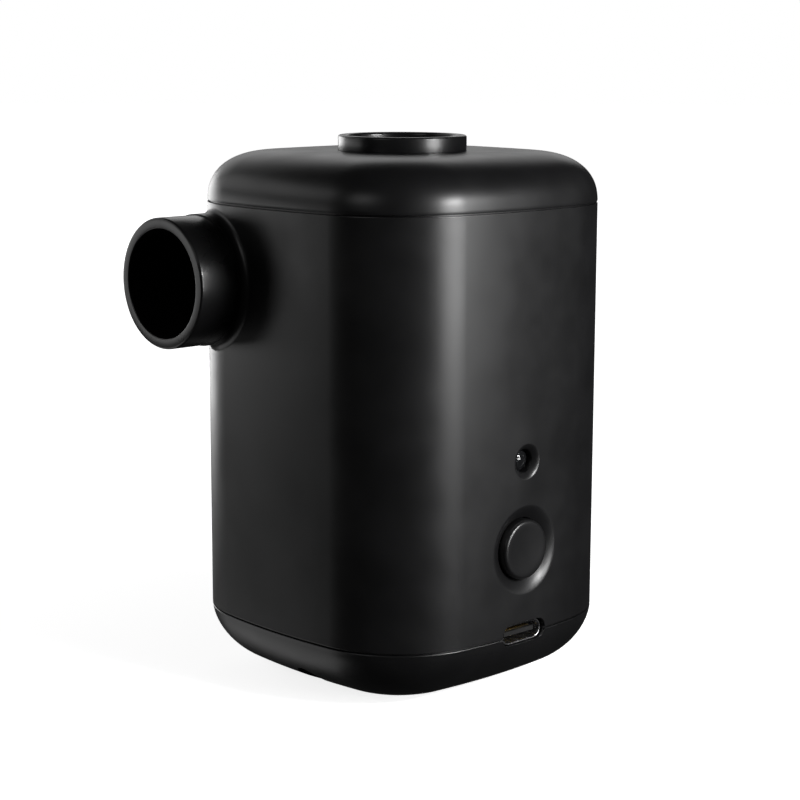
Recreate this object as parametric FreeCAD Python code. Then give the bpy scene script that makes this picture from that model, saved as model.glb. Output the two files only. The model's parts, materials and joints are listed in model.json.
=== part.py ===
import FreeCAD, Part
import math
import os

# Rechargeable air mattress pump. A centrifugal impeller under the top cover draws air through the
# inlet collar and blows it tangentially out of the side nozzle. A brushed motor hangs below the
# volute, two lithium cells stand behind it and one vertical board carries the controls.
# Millimetres. Origin at the centre of the resting plane, +Z up, nozzle towards -X, controls on -Y.

V = FreeCAD.Vector
X_AXIS = V(1, 0, 0)
Y_AXIS = V(0, 1, 0)
Z_AXIS = V(0, 0, 1)

# ---------------------------------------------------------------- driving dimensions
BODY_HALF = 28.0          # half the width across the flats
BODY_CORNER_R = 16.9      # plan radius of the four corners
BODY_SIDE_R = 110.0       # plan radius of the slightly convex sides
WALL = 1.8                # moulded wall
SEAM_LOW = 10.4           # bottom cover meets the shell
SEAM_HIGH = 77.4          # top cover meets the shell
REVEAL = 0.25             # height of the shadow gap at each seam
REVEAL_DEPTH = 0.5
LIP_DEPTH = 1.2           # the covers' locating lips
LIP_GAP = 0.1
LIP_THICK = 1.0
LIP_ROOT = 0.4            # how far a lip's root runs into the cover's wall
SNAP_HALF = 5.0           # snap beads in the middle of each side
SNAP_LOW = 76.45
SNAP_HIGH = 76.95

DOME_HEIGHT = 8.2         # top cover above its seam
DOME_REACH = 11.3         # how far the dome's curve runs in from the side
DOME_POWER = 2.35         # superellipse exponent of the dome's profile
BASE_HEIGHT = 9.6         # bottom cover below its seam
BASE_REACH = 10.5
BASE_POWER = 1.75
PAD_R = 13.5
PAD_SUNK = 0.7            # how far the foot pad is let into the bottom cover

PORT_R = 10.43            # outside radius of the inlet collar and the outlet nozzle
PORT_STEM_R = 9.95        # hidden stretch of both, seated in its housing
STEM_GAP = 0.05
COLLAR_TOP = 88.06
COLLAR_LOW = 77.0
COLLAR_BORE_R = 8.93
COLLAR_FLANGE_R = 12.4
COLLAR_FLANGE_THICK = 1.5
GUARD_TOP = 81.4
GUARD_THICK = 1.4
GUARD_SEAT_R = 9.4
GASKET_R = 12.2
NECK_R = 10.6             # short neck on the body that the nozzle seats against
NECK_FRONT_X = -29.1
NECK_BLEND = 1.2          # hollow fillet between the neck and the body's side
NOZZLE_Y = 16.8
NOZZLE_Z = 65.2
NOZZLE_END_X = -36.4
NOZZLE_TAIL_X = -19.6
NOZZLE_SOCKET_X = -22.6   # shoulder of the socket for the volute's spigot
NOZZLE_BORE_R = 8.72
OUTLET_SEAL_THICK = 0.9
VOLUTE_BORE_R = 8.40      # the passage that feeds the nozzle
VOLUTE_SPIGOT_R = 9.4

CONTROLS_X = 0.6          # button, lamp and charging port share this line
BUTTON_Z = 24.0
BUTTON_R = 4.82
BUTTON_FACE_Y = -28.15
BUTTON_HOLLOW_R = 60.0    # radius of the sphere that hollows the button's face
BUTTON_HOLE_R = BUTTON_R + 0.2
BUTTON_FLANGE_R = 6.3
BUTTON_FLANGE_FRONT = -24.75
BUTTON_RING_R = 7.8       # thick ring behind the dish, which stops the flange
BUTTON_RING_BACK = -24.95
DISH_R = 7.0
DISH_DEPTH = 1.3
LAMP_Z = 38.2
LAMP_DIMPLE_R = 2.74
LAMP_DIMPLE_DEPTH = 0.8
LAMP_HOLE_R = 1.9
LAMP_SLEEVE_R = 3.3
LAMP_SLEEVE_BACK = -24.6
LAMP_LENS_R = 1.85
LAMP_LENS_Y = -26.0
LAMP_NOSE_R = 2.3
LAMP_COLLAR_R = 2.9
USB_Z = SEAM_LOW
USB_CUT_W = 9.7
USB_CUT_H = 3.45
USB_SHELL_W = 8.94
USB_SHELL_H = 3.26
USB_SHELL_WALL = 0.3
USB_MOUTH_Y = -27.2
USB_TONGUE_HALF_W = 3.35
USB_TONGUE_HALF_H = 0.35
USB_CONTACT_THICK = 0.06
USB_CONTACT_PITCH = 0.5
USB_CONTACTS = 12         # on each side of the tongue

MOTOR_R = 12.2
MOTOR_LENGTH = 30.8
CAN_WALL = 0.9
BUSH_R = 2.2
SHAFT_R = 1.0
SHAFT_TOP = 68.5
SHAFT_LOW = 20.6
RUNNING_GAP = 0.04
MOTOR_BOSS_R = 3.1
MOTOR_SCREW_X = 8.0
MOTOR_SCREW_R = 1.0
MOTOR_SCREW_HEAD_R = 2.1
MOTOR_VENT_LOW = 48.0
MOTOR_VENT_HIGH = 51.0
MAGNET_R = 11.2
MAGNET_IN_R = 9.1
MAGNET_LOW = 28.5
MAGNET_HIGH = 46.5
MAGNET_HALF_ANGLE = 68.0
CORE_R = 8.7
CORE_IN_R = 7.3
CORE_LOW = 30.5
CORE_TOP = 44.5
POLES = 3
POLE_HALF = 1.5
COIL_GROW = 1.6
COMMUTATOR_R = 2.6
COMMUTATOR_LOW = 25.8
COMMUTATOR_TOP = 29.0
BRUSH_LOW = 26.3
BRUSH_HIGH = 28.5
TERMINAL_X = 7.5
TERMINAL_LENGTH = 4.0     # below the end cap
SLEEVE_LOW = 27.0
SLEEVE_HIGH = 50.5

IMPELLER_R = 17.4
IMPELLER_BLADES = 9
IMPELLER_LOW = 57.4
IMPELLER_PLATE = 1.4
IMPELLER_TOP = 73.6
HUB_R = 3.4
HUB_TOP = 68.0
BLADE_THICK = 1.0
BLADE_LINE = [(6.6, 0.0), (12.0, -17.0), (IMPELLER_R - 0.2, -44.0)]   # radius and angle, swept back

VOLUTE_FLOOR_LOW = 54.5   # underside of the volute casing
VOLUTE_FLOOR = 56.4
VOLUTE_TOP = 74.7         # volute cover rests here
VOLUTE_COVER_TOP = 75.9
VOLUTE_WALL = 1.2
VOLUTE_PILOT_R = 0.95
VOLUTE_SCREW_TIP = 51.0
SCREW_WAY_R = 1.2
CHAMBER_R = 18.8
VOLUTE_START = 150.0      # tongue, degrees from +X
VOLUTE_END = 450.0
VOLUTE_END_R = 24.7

CELL_R = 7.1
CELL_LENGTH = 43.0
CELL_XY = 14.3
CELL_LOW = 7.8
HOLDER_R = 8.0
HOLDER_BORE_R = CELL_R + 0.1
HOLDER_TOP = 47.0
TRAY_POST_R = 4.0
TRAY_POST_TOP = 6.2
TAB_THICK = 0.15

BOARD_FRONT_Y = -19.6
BOARD_THICK = 1.6
BOARD_HALF_W = 15.6
BOARD_LOW = 5.4
BOARD_HIGH = 49.8
BOARD_POSTS = [(-13.4, 17.5), (13.4, 17.5), (-13.4, 46.0), (13.4, 46.0)]
BOARD_SCREW_LENGTH = 5.6
POST_R = 2.4
POST_PILOT_R = 0.75
SWITCH_HALF = 3.0
SWITCH_PIN_Z = 2.25
PLUNGER_R = 1.75
PLUNGER_FRONT_Y = -23.9
LED_HEIGHT = 1.2
CHIP_HALF_W = 2.6
CHIP_HALF_H = 1.95
CHIP_THICK = 1.4
CHIP_PITCH = 1.27
CHIP_PINS = 4             # on each edge
CONTROLLER_XZ = (-2.0, 30.0)
CHARGER_XZ = (9.0, 21.0)
CAPACITORS_XZ = [(-10.5, 24.0), (-10.5, 28.0), (11.0, 27.0), (2.0, 40.5), (2.0, 43.0)]
INDUCTOR_XZ = (7.0, 36.0)
INDUCTOR_HALF = 3.0
CONNECTOR_XZ = (-9.0, 37.0)
CONNECTOR_HALF = 3.0
LEAD_R = 0.65

CASE_SCREWS = [(-22.4, -3.0), (22.4, -3.0), (0.0, 22.4)]
CASE_SCREW_TIP = 17.0
CASE_BOSS_R = 3.0
CASE_BOSS_TOP = 22.0
CASE_PILOT_R = 1.0
CASE_COUNTERBORE_R = 2.4
CASE_HEAD_SEAT = 6.4
CASE_CLEARANCE_R = 1.25
CASE_LIP_CLEAR = 5.0      # half the length cut from the lip at each case screw
VOLUTE_COLUMNS = [(-18.7, -18.7), (18.7, -18.7), (18.7, 18.7)]
COLUMN_R = 2.8
COLUMN_LOW = 47.0

# derived
DOME_TOP = SEAM_HIGH + DOME_HEIGHT
FLOOR_Z = SEAM_LOW - BASE_HEIGHT
BOARD_BACK_Y = BOARD_FRONT_Y + BOARD_THICK
MOTOR_TOP = VOLUTE_FLOOR_LOW - 0.6
MOTOR_LOW = MOTOR_TOP - MOTOR_LENGTH
END_CAP_LOW = MOTOR_LOW - 2.0
CELL_TOP = CELL_LOW + CELL_LENGTH
USB_BASE_Y = BOARD_FRONT_Y - 1.6
SWITCH_FRONT_Y = BOARD_FRONT_Y - 3.5
LED_FRONT_Y = BOARD_FRONT_Y - LED_HEIGHT


# ---------------------------------------------------------------- helpers
def box(x0, x1, y0, y1, z0, z1):
    return Part.makeBox(x1 - x0, y1 - y0, z1 - z0, V(x0, y0, z0))


def cyl_z(r, z0, z1, x=0.0, y=0.0):
    return Part.makeCylinder(r, z1 - z0, V(x, y, z0), Z_AXIS)


def cyl_x(r, x0, x1, y, z):
    return Part.makeCylinder(r, x1 - x0, V(x0, y, z), X_AXIS)


def cyl_y(r, y0, y1, x, z):
    return Part.makeCylinder(r, y1 - y0, V(x, y0, z), Y_AXIS)


def tube_z(r_out, r_in, z0, z1, x=0.0, y=0.0):
    return cyl_z(r_out, z0, z1, x, y).cut(cyl_z(r_in, z0 - 1, z1 + 1, x, y))


def tube_x(r_out, r_in, x0, x1, y, z):
    return cyl_x(r_out, x0, x1, y, z).cut(cyl_x(r_in, x0 - 1, x1 + 1, y, z))


def join(shapes):
    return shapes[0].multiFuse(shapes[1:]).removeSplitter()


def group(shapes):
    return Part.makeCompound(shapes)


def polar(radius, degrees, z=0.0):
    a = math.radians(degrees)
    return V(radius * math.cos(a), radius * math.sin(a), z)


def round_edges(shape, radius, picks):
    """Fillet the edges that the test picks."""
    edges = [e for e in shape.Edges if picks(e)]
    return shape.makeFillet(radius, edges)


def circle_at(edge, radius, axis, level):
    """True for a full circle of this radius whose centre is at this level along the axis."""
    curve = edge.Curve
    if not isinstance(curve, Part.Circle) or abs(curve.Radius - radius) > 0.01:
        return False
    return abs(curve.Center.dot(axis) - level) < 0.01


def section(inset, z):
    """Plan outline of the body, moved in by inset: four convex sides and four corners, all tangent."""
    side_centre = BODY_HALF - BODY_SIDE_R
    reach = BODY_SIDE_R - BODY_CORNER_R
    corner = (side_centre + math.sqrt(2 * reach ** 2 - side_centre ** 2)) / 2
    swing = math.degrees(math.atan2(corner, corner - side_centre))
    side_r = BODY_SIDE_R - inset
    corner_r = BODY_CORNER_R - inset
    edges = []
    for quarter in range(4):
        turn = FreeCAD.Rotation(Z_AXIS, 90.0 * quarter)

        def on(centre, radius, degrees):
            return turn.multVec(centre + polar(radius, degrees)) + V(0, 0, z)

        side = V(side_centre, 0, 0)
        for centre, radius, low, high in ((side, side_r, -swing, swing),
                                          (V(corner, corner, 0), corner_r, swing, 90 - swing)):
            middle = (low + high) / 2
            edges.append(Part.Arc(on(centre, radius, low), on(centre, radius, middle),
                                  on(centre, radius, high)))
    return Part.Wire([e.toShape() for e in edges])


def prism(inset, z0, z1):
    return Part.Face(section(inset, z0)).extrude(V(0, 0, z1 - z0))


def band(outer_inset, inner_inset, z0, z1):
    return prism(outer_inset, z0, z1).cut(prism(inner_inset, z0 - 1, z1 + 1))


def crown(inset, seam, up, reach, height, power):
    """Closed cap on the body's outline whose profile is a quarter superellipse ending in a flat."""
    steps = 12
    wires = []
    for i in range(steps + 1):
        t = math.radians(90.0 * i / steps)
        across = 1 - max(math.cos(t), 0.0) ** (2 / power) if i < steps else 1.0
        rise = math.sin(t) ** (2 / power)
        wires.append(section(inset + reach * across, seam + up * height * rise))
    return Part.makeLoft(wires, True, False)


def slot_y(width, height, y0, y1, x, z):
    """Bar along Y with full-round ends."""
    r = height / 2
    half = width / 2 - r
    return join([box(x - half, x + half, y0, y1, z - r, z + r),
                 cyl_y(r, y0, y1, x - half, z), cyl_y(r, y0, y1, x + half, z)])


def screw(tip, direction, length, shank_r, head_r, head_h):
    """Pan-head screw with a cross recess. The tip is where the shank ends, direction towards the head."""
    shank = Part.makeCylinder(shank_r, length, V(0, 0, 0), Z_AXIS)
    head = Part.makeCylinder(head_r, head_h, V(0, 0, length), Z_AXIS)
    head = round_edges(head, head_h * 0.4, lambda e: circle_at(e, head_r, Z_AXIS, length + head_h))
    arm = head_r * 0.6
    wide = head_r * 0.12
    top = length + head_h
    deep = head_h * 0.5
    cross = box(-arm, arm, -wide, wide, top - deep, top + 1)
    cross = cross.fuse(box(-wide, wide, -arm, arm, top - deep, top + 1))
    body = shank.fuse(head).cut(cross)
    body.Placement = FreeCAD.Placement(tip, FreeCAD.Rotation(Z_AXIS, direction))
    return body


def lead(points, radius):
    """Insulated wire: straight runs joined by tangent arcs."""
    place = points[0]
    solids = []
    bends = []
    for before, corner, after in zip(points, points[1:], points[2:]):
        u = (before - corner).normalize()
        v = (after - corner).normalize()
        turn = math.pi - u.getAngle(v)
        trim = 0.45 * min((before - corner).Length, (after - corner).Length)
        bend_r = trim / math.tan(turn / 2)
        bends.append(round(bend_r, 1))
        start = corner + u * trim
        centre = corner + (u + v).normalize() * math.hypot(trim, bend_r)
        run = start - place
        disc = Part.Face(Part.Wire(Part.makeCircle(radius, place, run)))
        solids.append(disc.extrude(run))
        axis = (start - centre).cross(u * -1)
        disc = Part.Face(Part.Wire(Part.makeCircle(radius, start, u * -1)))
        solids.append(disc.revolve(centre, axis, math.degrees(turn)))
        place = corner + v * trim
    run = points[-1] - place
    disc = Part.Face(Part.Wire(Part.makeCircle(radius, place, run)))
    solids.append(disc.extrude(run))
    print("wire bends, radius in mm:", bends)
    return solids[0].multiFuse(solids[1:])


# ---------------------------------------------------------------- outer shells
def nozzle_way(radius, x0, x1):
    return cyl_x(radius, x0, x1, NOZZLE_Y, NOZZLE_Z)


def is_neck_root(edge):
    """True for the edge where the nozzle's neck meets the body's side."""
    if isinstance(edge.Curve, (Part.Circle, Part.Line)):
        return False
    first, last = edge.ParameterRange
    for share in (0.1, 0.5, 0.9):
        point = edge.valueAt(first + share * (last - first))
        if abs(math.hypot(point.y - NOZZLE_Y, point.z - NOZZLE_Z) - NECK_R) > 0.01 or point.x > -1:
            return False
    return True


def case_boss_ribs(z0, z1):
    """Ribs that tie the case-screw bosses to the wall."""
    half = 1.2
    wall_in = BODY_HALF - WALL + 0.4
    ribs = []
    for x, y in CASE_SCREWS:
        if x:
            side = math.copysign(1, x)
            low, high = sorted((x, side * wall_in))
            ribs.append(box(low, high, y - half, y + half, z0, z1))
        else:
            ribs.append(box(-half, half, y, wall_in, z0, z1))
    return ribs


def snap_boxes(inner, outer, half, z0, z1):
    """One bar in the middle of each side, from inner to outer distance."""
    bars = []
    for quarter in range(4):
        bar = box(inner, outer, -half, half, z0, z1)
        bar.rotate(V(0, 0, 0), Z_AXIS, 90 * quarter)
        bars.append(bar)
    return bars


def make_body_shell():
    block = prism(0, SEAM_LOW, SEAM_HIGH).fuse(nozzle_way(NECK_R, NECK_FRONT_X, 0))
    block = round_edges(block, NECK_BLEND, is_neck_root)
    shell = block.cut(prism(WALL, SEAM_LOW - 1, SEAM_HIGH + 1))
    inner_wall = BODY_HALF - WALL
    inside = prism(WALL / 2, SEAM_LOW, SEAM_HIGH)
    adds = [cyl_y(BUTTON_RING_R, -BODY_HALF, BUTTON_RING_BACK, CONTROLS_X, BUTTON_Z),
            cyl_y(LAMP_SLEEVE_R, -BODY_HALF, LAMP_SLEEVE_BACK, CONTROLS_X, LAMP_Z)]
    adds += [cyl_y(POST_R, -BODY_HALF, BOARD_FRONT_Y, x, z) for x, z in BOARD_POSTS]
    adds += [cyl_z(CASE_BOSS_R, SEAM_LOW, CASE_BOSS_TOP, x, y) for x, y in CASE_SCREWS]
    adds += case_boss_ribs(SEAM_LOW, CASE_BOSS_TOP)
    for x, y in VOLUTE_COLUMNS:
        low = COLUMN_LOW if y < 0 else CELL_TOP + 0.8
        adds.append(cyl_z(COLUMN_R, low, VOLUTE_FLOOR_LOW, x, y))
        web = box(0, 6, -1, 1, low, VOLUTE_FLOOR_LOW)
        web.rotate(V(0, 0, 0), Z_AXIS, math.degrees(math.atan2(y, x)))
        web.translate(V(x, y, 0))
        adds.append(web)
    shell = shell.multiFuse([a.common(inside) for a in adds])
    cuts = [nozzle_way(PORT_STEM_R + STEM_GAP, NECK_FRONT_X - 1, -15.0),
            nozzle_way(VOLUTE_SPIGOT_R + 0.25, -16.0, 3.0),
            cyl_y(BUTTON_HOLE_R, -BODY_HALF - 1, BUTTON_RING_BACK + 1, CONTROLS_X, BUTTON_Z),
            Part.makeCone(DISH_R + 1.53, BUTTON_HOLE_R, 1 + DISH_DEPTH,
                          V(CONTROLS_X, -BODY_HALF - 1, BUTTON_Z), Y_AXIS),
            cyl_y(LAMP_HOLE_R, -BODY_HALF - 1, LAMP_SLEEVE_BACK + 1, CONTROLS_X, LAMP_Z),
            Part.makeCone(LAMP_DIMPLE_R + 1.05, LAMP_HOLE_R, 1 + LAMP_DIMPLE_DEPTH,
                          V(CONTROLS_X, -BODY_HALF - 1, LAMP_Z), Y_AXIS),
            slot_y(USB_CUT_W, USB_CUT_H, -BODY_HALF - 1, -inner_wall + 1, CONTROLS_X, USB_Z)]
    cuts += [cyl_y(POST_PILOT_R, BOARD_FRONT_Y - 5.5, BOARD_FRONT_Y + 1, x, z) for x, z in BOARD_POSTS]
    cuts += [cyl_z(CASE_PILOT_R, SEAM_LOW - 1, CASE_BOSS_TOP - 2, x, y) for x, y in CASE_SCREWS]
    cuts += [cyl_z(VOLUTE_PILOT_R, COLUMN_LOW, VOLUTE_FLOOR_LOW + 1, x, y) for x, y in VOLUTE_COLUMNS]
    cuts += snap_boxes(inner_wall - 1, inner_wall + 0.5, SNAP_HALF + 0.3, SNAP_LOW - 0.1, SNAP_HIGH + 0.1)
    return shell.cut(Part.makeCompound(cuts)).removeSplitter()


def make_top_cover():
    outer = crown(0, SEAM_HIGH, 1, DOME_REACH, DOME_HEIGHT, DOME_POWER)
    inner = crown(WALL, SEAM_HIGH, 1, DOME_REACH - 1.0, DOME_HEIGHT - WALL, DOME_POWER)
    lip_low = SEAM_HIGH - LIP_DEPTH
    lip_in = WALL + LIP_GAP
    cover = outer.cut(inner).cut(band(-1, REVEAL_DEPTH, SEAM_HIGH - 1, SEAM_HIGH + REVEAL))
    root = band(WALL - LIP_ROOT, lip_in + LIP_THICK, SEAM_HIGH, SEAM_HIGH + 1.0)
    lip = band(lip_in, lip_in + LIP_THICK, lip_low, SEAM_HIGH + 1.0)
    wall = BODY_HALF - WALL
    beads = snap_boxes(wall - 1.0, wall + 0.3, SNAP_HALF, SNAP_LOW, SNAP_HIGH)
    hole = cyl_z(PORT_STEM_R + STEM_GAP, DOME_TOP - 6, DOME_TOP + 1)
    return join([cover, root, lip] + beads).cut(hole).removeSplitter()


def make_bottom_cover():
    outer = crown(0, SEAM_LOW, -1, BASE_REACH, BASE_HEIGHT, BASE_POWER)
    inner = crown(WALL, SEAM_LOW, -1, BASE_REACH - 1.0, BASE_HEIGHT - WALL, BASE_POWER)
    shell = outer.cut(inner)
    columns = [cyl_z(CASE_BOSS_R, FLOOR_Z, SEAM_LOW, x, y) for x, y in CASE_SCREWS]
    columns += [cyl_z(TRAY_POST_R, FLOOR_Z, TRAY_POST_TOP, side * CELL_XY, CELL_XY) for side in (-1, 1)]
    lip_in = WALL + LIP_GAP
    lip = band(lip_in, lip_in + LIP_THICK, SEAM_LOW - 1.0, SEAM_LOW + 1.6)
    root = band(WALL - LIP_ROOT, lip_in + LIP_THICK, SEAM_LOW - 1.0, SEAM_LOW)
    gaps = [cyl_z(CASE_BOSS_R + 0.4, SEAM_LOW, SEAM_LOW + 3, x, y) for x, y in CASE_SCREWS]
    gaps += case_boss_ribs(SEAM_LOW, SEAM_LOW + 3)
    for x, y in CASE_SCREWS:
        clear = CASE_LIP_CLEAR
        gaps.append(box(x - clear, x + clear, y - clear, y + clear, SEAM_LOW, SEAM_LOW + 3))
    gaps.append(box(CONTROLS_X - 9, CONTROLS_X + 9, -BODY_HALF, -20, SEAM_LOW, SEAM_LOW + 3))
    lip = lip.cut(Part.makeCompound(gaps))
    cover = join([shell, root, lip] + [c.common(outer) for c in columns])
    cuts = [cyl_z(CASE_COUNTERBORE_R, -1, CASE_HEAD_SEAT, x, y) for x, y in CASE_SCREWS]
    cuts += [cyl_z(CASE_CLEARANCE_R, 0, SEAM_LOW + 1, x, y) for x, y in CASE_SCREWS]
    cuts.append(cyl_z(PAD_R + 0.1, FLOOR_Z - 1, FLOOR_Z + PAD_SUNK))
    cuts.append(slot_y(USB_CUT_W, USB_CUT_H, -BODY_HALF - 1, -BODY_HALF + 6, CONTROLS_X, USB_Z))
    cuts.append(band(-1, REVEAL_DEPTH, SEAM_LOW - REVEAL, SEAM_LOW + 0.5))
    return cover.cut(Part.makeCompound(cuts)).removeSplitter()


def make_foot_pad():
    pad = cyl_z(PAD_R, 0, FLOOR_Z + PAD_SUNK)
    return round_edges(pad, 0.3, lambda e: circle_at(e, PAD_R, Z_AXIS, 0))


# ---------------------------------------------------------------- air path
def make_inlet_collar():
    head = cyl_z(PORT_R, DOME_TOP, COLLAR_TOP)
    head = round_edges(head, 0.35, lambda e: circle_at(e, PORT_R, Z_AXIS, COLLAR_TOP))
    flange_top = DOME_TOP - WALL - 0.05
    collar = join([head, cyl_z(PORT_STEM_R, COLLAR_LOW, DOME_TOP),
                   cyl_z(COLLAR_FLANGE_R, flange_top - COLLAR_FLANGE_THICK, flange_top)])
    mouth = Part.makeCone(COLLAR_BORE_R, COLLAR_BORE_R + 0.6, 0.6, V(0, 0, COLLAR_TOP - 0.5), Z_AXIS)
    cuts = [cyl_z(COLLAR_BORE_R, COLLAR_LOW - 1, COLLAR_TOP + 1), mouth,
            cyl_z(GUARD_SEAT_R, COLLAR_LOW - 1, GUARD_TOP)]
    return collar.cut(Part.makeCompound(cuts)).removeSplitter()


def make_inlet_guard():
    low = GUARD_TOP - GUARD_THICK
    rings = [tube_z(GUARD_SEAT_R - 0.03, 8.5, low, GUARD_TOP), tube_z(5.9, 5.1, low, GUARD_TOP),
             cyl_z(2.2, low, GUARD_TOP)]
    spokes = []
    for i in range(6):
        spoke = box(1.5, 8.8, -0.45, 0.45, low, GUARD_TOP)
        spoke.rotate(V(0, 0, 0), Z_AXIS, 60 * i + 15)
        spokes.append(spoke)
    return join(rings + spokes)


def make_inlet_gasket():
    return tube_z(GASKET_R, GUARD_SEAT_R, VOLUTE_COVER_TOP, COLLAR_LOW)


def make_outlet_nozzle():
    head = nozzle_way(PORT_R, NOZZLE_END_X, NECK_FRONT_X)
    head = round_edges(head, 0.4, lambda e: circle_at(e, PORT_R, X_AXIS, NOZZLE_END_X))
    body = head.fuse(nozzle_way(PORT_STEM_R, NECK_FRONT_X, NOZZLE_TAIL_X))
    mouth = Part.makeCone(NOZZLE_BORE_R + 0.5, NOZZLE_BORE_R, 0.5,
                          V(NOZZLE_END_X - 0.1, NOZZLE_Y, NOZZLE_Z), X_AXIS)
    cuts = [nozzle_way(NOZZLE_BORE_R, NOZZLE_END_X - 1, NOZZLE_TAIL_X + 1), mouth,
            nozzle_way(VOLUTE_SPIGOT_R + 0.1, NOZZLE_SOCKET_X, NOZZLE_TAIL_X + 1)]
    return body.cut(Part.makeCompound(cuts)).removeSplitter()


def make_outlet_seal():
    return tube_x(VOLUTE_SPIGOT_R, NOZZLE_BORE_R + 0.3, NOZZLE_SOCKET_X,
                  NOZZLE_SOCKET_X + OUTLET_SEAL_THICK, NOZZLE_Y, NOZZLE_Z)


def spiral_block(extra, z0, z1):
    """Solid spiral that grows from the tongue to the outlet, moved out by extra."""
    steps = 20
    points = []
    for i in range(steps + 1):
        share = i / steps
        radius = CHAMBER_R + share * (VOLUTE_END_R - CHAMBER_R) + extra
        points.append(polar(radius, VOLUTE_START + share * (VOLUTE_END - VOLUTE_START), z0))
    curve = Part.BSplineCurve()
    curve.interpolate(points)
    centre = V(0, 0, z0)
    wire = Part.Wire([curve.toShape(), Part.LineSegment(points[-1], centre).toShape(),
                      Part.LineSegment(centre, points[0]).toShape()])
    return Part.Face(wire).extrude(V(0, 0, z1 - z0))


def volute_ears(z0, z1):
    ears = []
    for x, y in VOLUTE_COLUMNS:
        ears.append(cyl_z(COLUMN_R, z0, z1, x, y))
        reach = math.hypot(x, y)
        web = box(CHAMBER_R + 0.5, reach, -1.2, 1.2, z0, z1)
        web.rotate(V(0, 0, 0), Z_AXIS, math.degrees(math.atan2(y, x)))
        ears.append(web)
    return ears


def make_volute_casing():
    low, top = VOLUTE_FLOOR_LOW, VOLUTE_TOP
    spigot = nozzle_way(VOLUTE_SPIGOT_R, NOZZLE_SOCKET_X + 1.0, 0)
    outer = join([spiral_block(VOLUTE_WALL, low, top), cyl_z(CHAMBER_R + VOLUTE_WALL, low, top), spigot]
                 + volute_ears(low, top))
    cuts = [spiral_block(0, VOLUTE_FLOOR, top + 1), cyl_z(CHAMBER_R, VOLUTE_FLOOR, top + 1),
            nozzle_way(VOLUTE_BORE_R, NOZZLE_SOCKET_X - 1, 0),
            cyl_z(MOTOR_BOSS_R + 0.3, low - 1, VOLUTE_FLOOR + 1)]
    for side in (-1, 1):
        cuts.append(cyl_z(SCREW_WAY_R, low - 1, VOLUTE_FLOOR + 1, side * MOTOR_SCREW_X, 0))
        cuts.append(Part.makeCone(SCREW_WAY_R - 0.05, MOTOR_SCREW_HEAD_R + 0.15, 1.3,
                                  V(side * MOTOR_SCREW_X, 0, VOLUTE_FLOOR - 1.3), Z_AXIS))
    cuts += [cyl_z(SCREW_WAY_R, low - 1, top + 1, x, y) for x, y in VOLUTE_COLUMNS]
    return outer.cut(Part.makeCompound(cuts)).removeSplitter()


def make_volute_cover():
    low, top = VOLUTE_TOP, VOLUTE_COVER_TOP
    plate = join([spiral_block(VOLUTE_WALL, low, top), cyl_z(CHAMBER_R + VOLUTE_WALL, low, top)]
                 + volute_ears(low, top))
    cuts = [cyl_z(COLLAR_BORE_R, low - 1, top + 1)]
    cuts += [cyl_z(SCREW_WAY_R, low - 1, top + 1, x, y) for x, y in VOLUTE_COLUMNS]
    return plate.cut(Part.makeCompound(cuts)).removeSplitter()


def make_volute_screws():
    length = VOLUTE_COVER_TOP - VOLUTE_SCREW_TIP
    return group([screw(V(x, y, VOLUTE_SCREW_TIP), Z_AXIS, length, VOLUTE_PILOT_R, 1.9, 1.2)
                  for x, y in VOLUTE_COLUMNS])


def make_impeller():
    """Open impeller that turns anticlockwise seen from above, its blades curved backwards."""
    plate_top = IMPELLER_LOW + IMPELLER_PLATE
    solids = [cyl_z(IMPELLER_R, IMPELLER_LOW, plate_top), cyl_z(HUB_R, IMPELLER_LOW, HUB_TOP)]
    for blade in range(IMPELLER_BLADES):
        turn = 360.0 * blade / IMPELLER_BLADES
        sides = []
        for side in (-1, 1):
            sides.append([polar(r, a + turn + side * math.degrees(BLADE_THICK / 2 / r), plate_top - 0.2)
                          for r, a in BLADE_LINE])
        left, right = sides
        wire = Part.Wire([Part.Arc(*left).toShape(), Part.LineSegment(left[2], right[2]).toShape(),
                          Part.Arc(*right).toShape(), Part.LineSegment(right[0], left[0]).toShape()])
        solids.append(Part.Face(wire).extrude(V(0, 0, IMPELLER_TOP - plate_top + 0.2)))
    nose = Part.makeCone(HUB_R, 1.8, 2.0, V(0, 0, HUB_TOP), Z_AXIS)
    return join(solids + [nose]).cut(cyl_z(SHAFT_R, IMPELLER_LOW - 1, SHAFT_TOP)).removeSplitter()


# ---------------------------------------------------------------- motor
def make_motor_can():
    boss_top = MOTOR_TOP + 2.0
    outer = cyl_z(MOTOR_R, MOTOR_LOW, MOTOR_TOP)
    outer = round_edges(outer, 1.0, lambda e: circle_at(e, MOTOR_R, Z_AXIS, MOTOR_TOP))
    outer = outer.fuse(cyl_z(MOTOR_BOSS_R, MOTOR_TOP - 1, boss_top))
    cuts = [cyl_z(MOTOR_R - CAN_WALL, MOTOR_LOW - 1, MOTOR_TOP - CAN_WALL),
            cyl_z(BUSH_R, MOTOR_TOP - 3, boss_top + 1)]
    cuts += [cyl_z(MOTOR_SCREW_R, MOTOR_TOP - 3, MOTOR_TOP + 1, s * MOTOR_SCREW_X, 0) for s in (-1, 1)]
    vents = [box(-2.5, 2.5, s * MOTOR_R - 3, s * MOTOR_R + 3, MOTOR_VENT_LOW, MOTOR_VENT_HIGH)
             for s in (-1, 1)]
    return outer.cut(Part.makeCompound(cuts + vents)).removeSplitter()


def make_front_bush():
    return tube_z(BUSH_R, SHAFT_R + RUNNING_GAP, MOTOR_TOP - 0.9, MOTOR_TOP + 1.9)


def make_rear_bush():
    return tube_z(BUSH_R, SHAFT_R + RUNNING_GAP, END_CAP_LOW + 0.2, END_CAP_LOW + 3.2)


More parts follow.
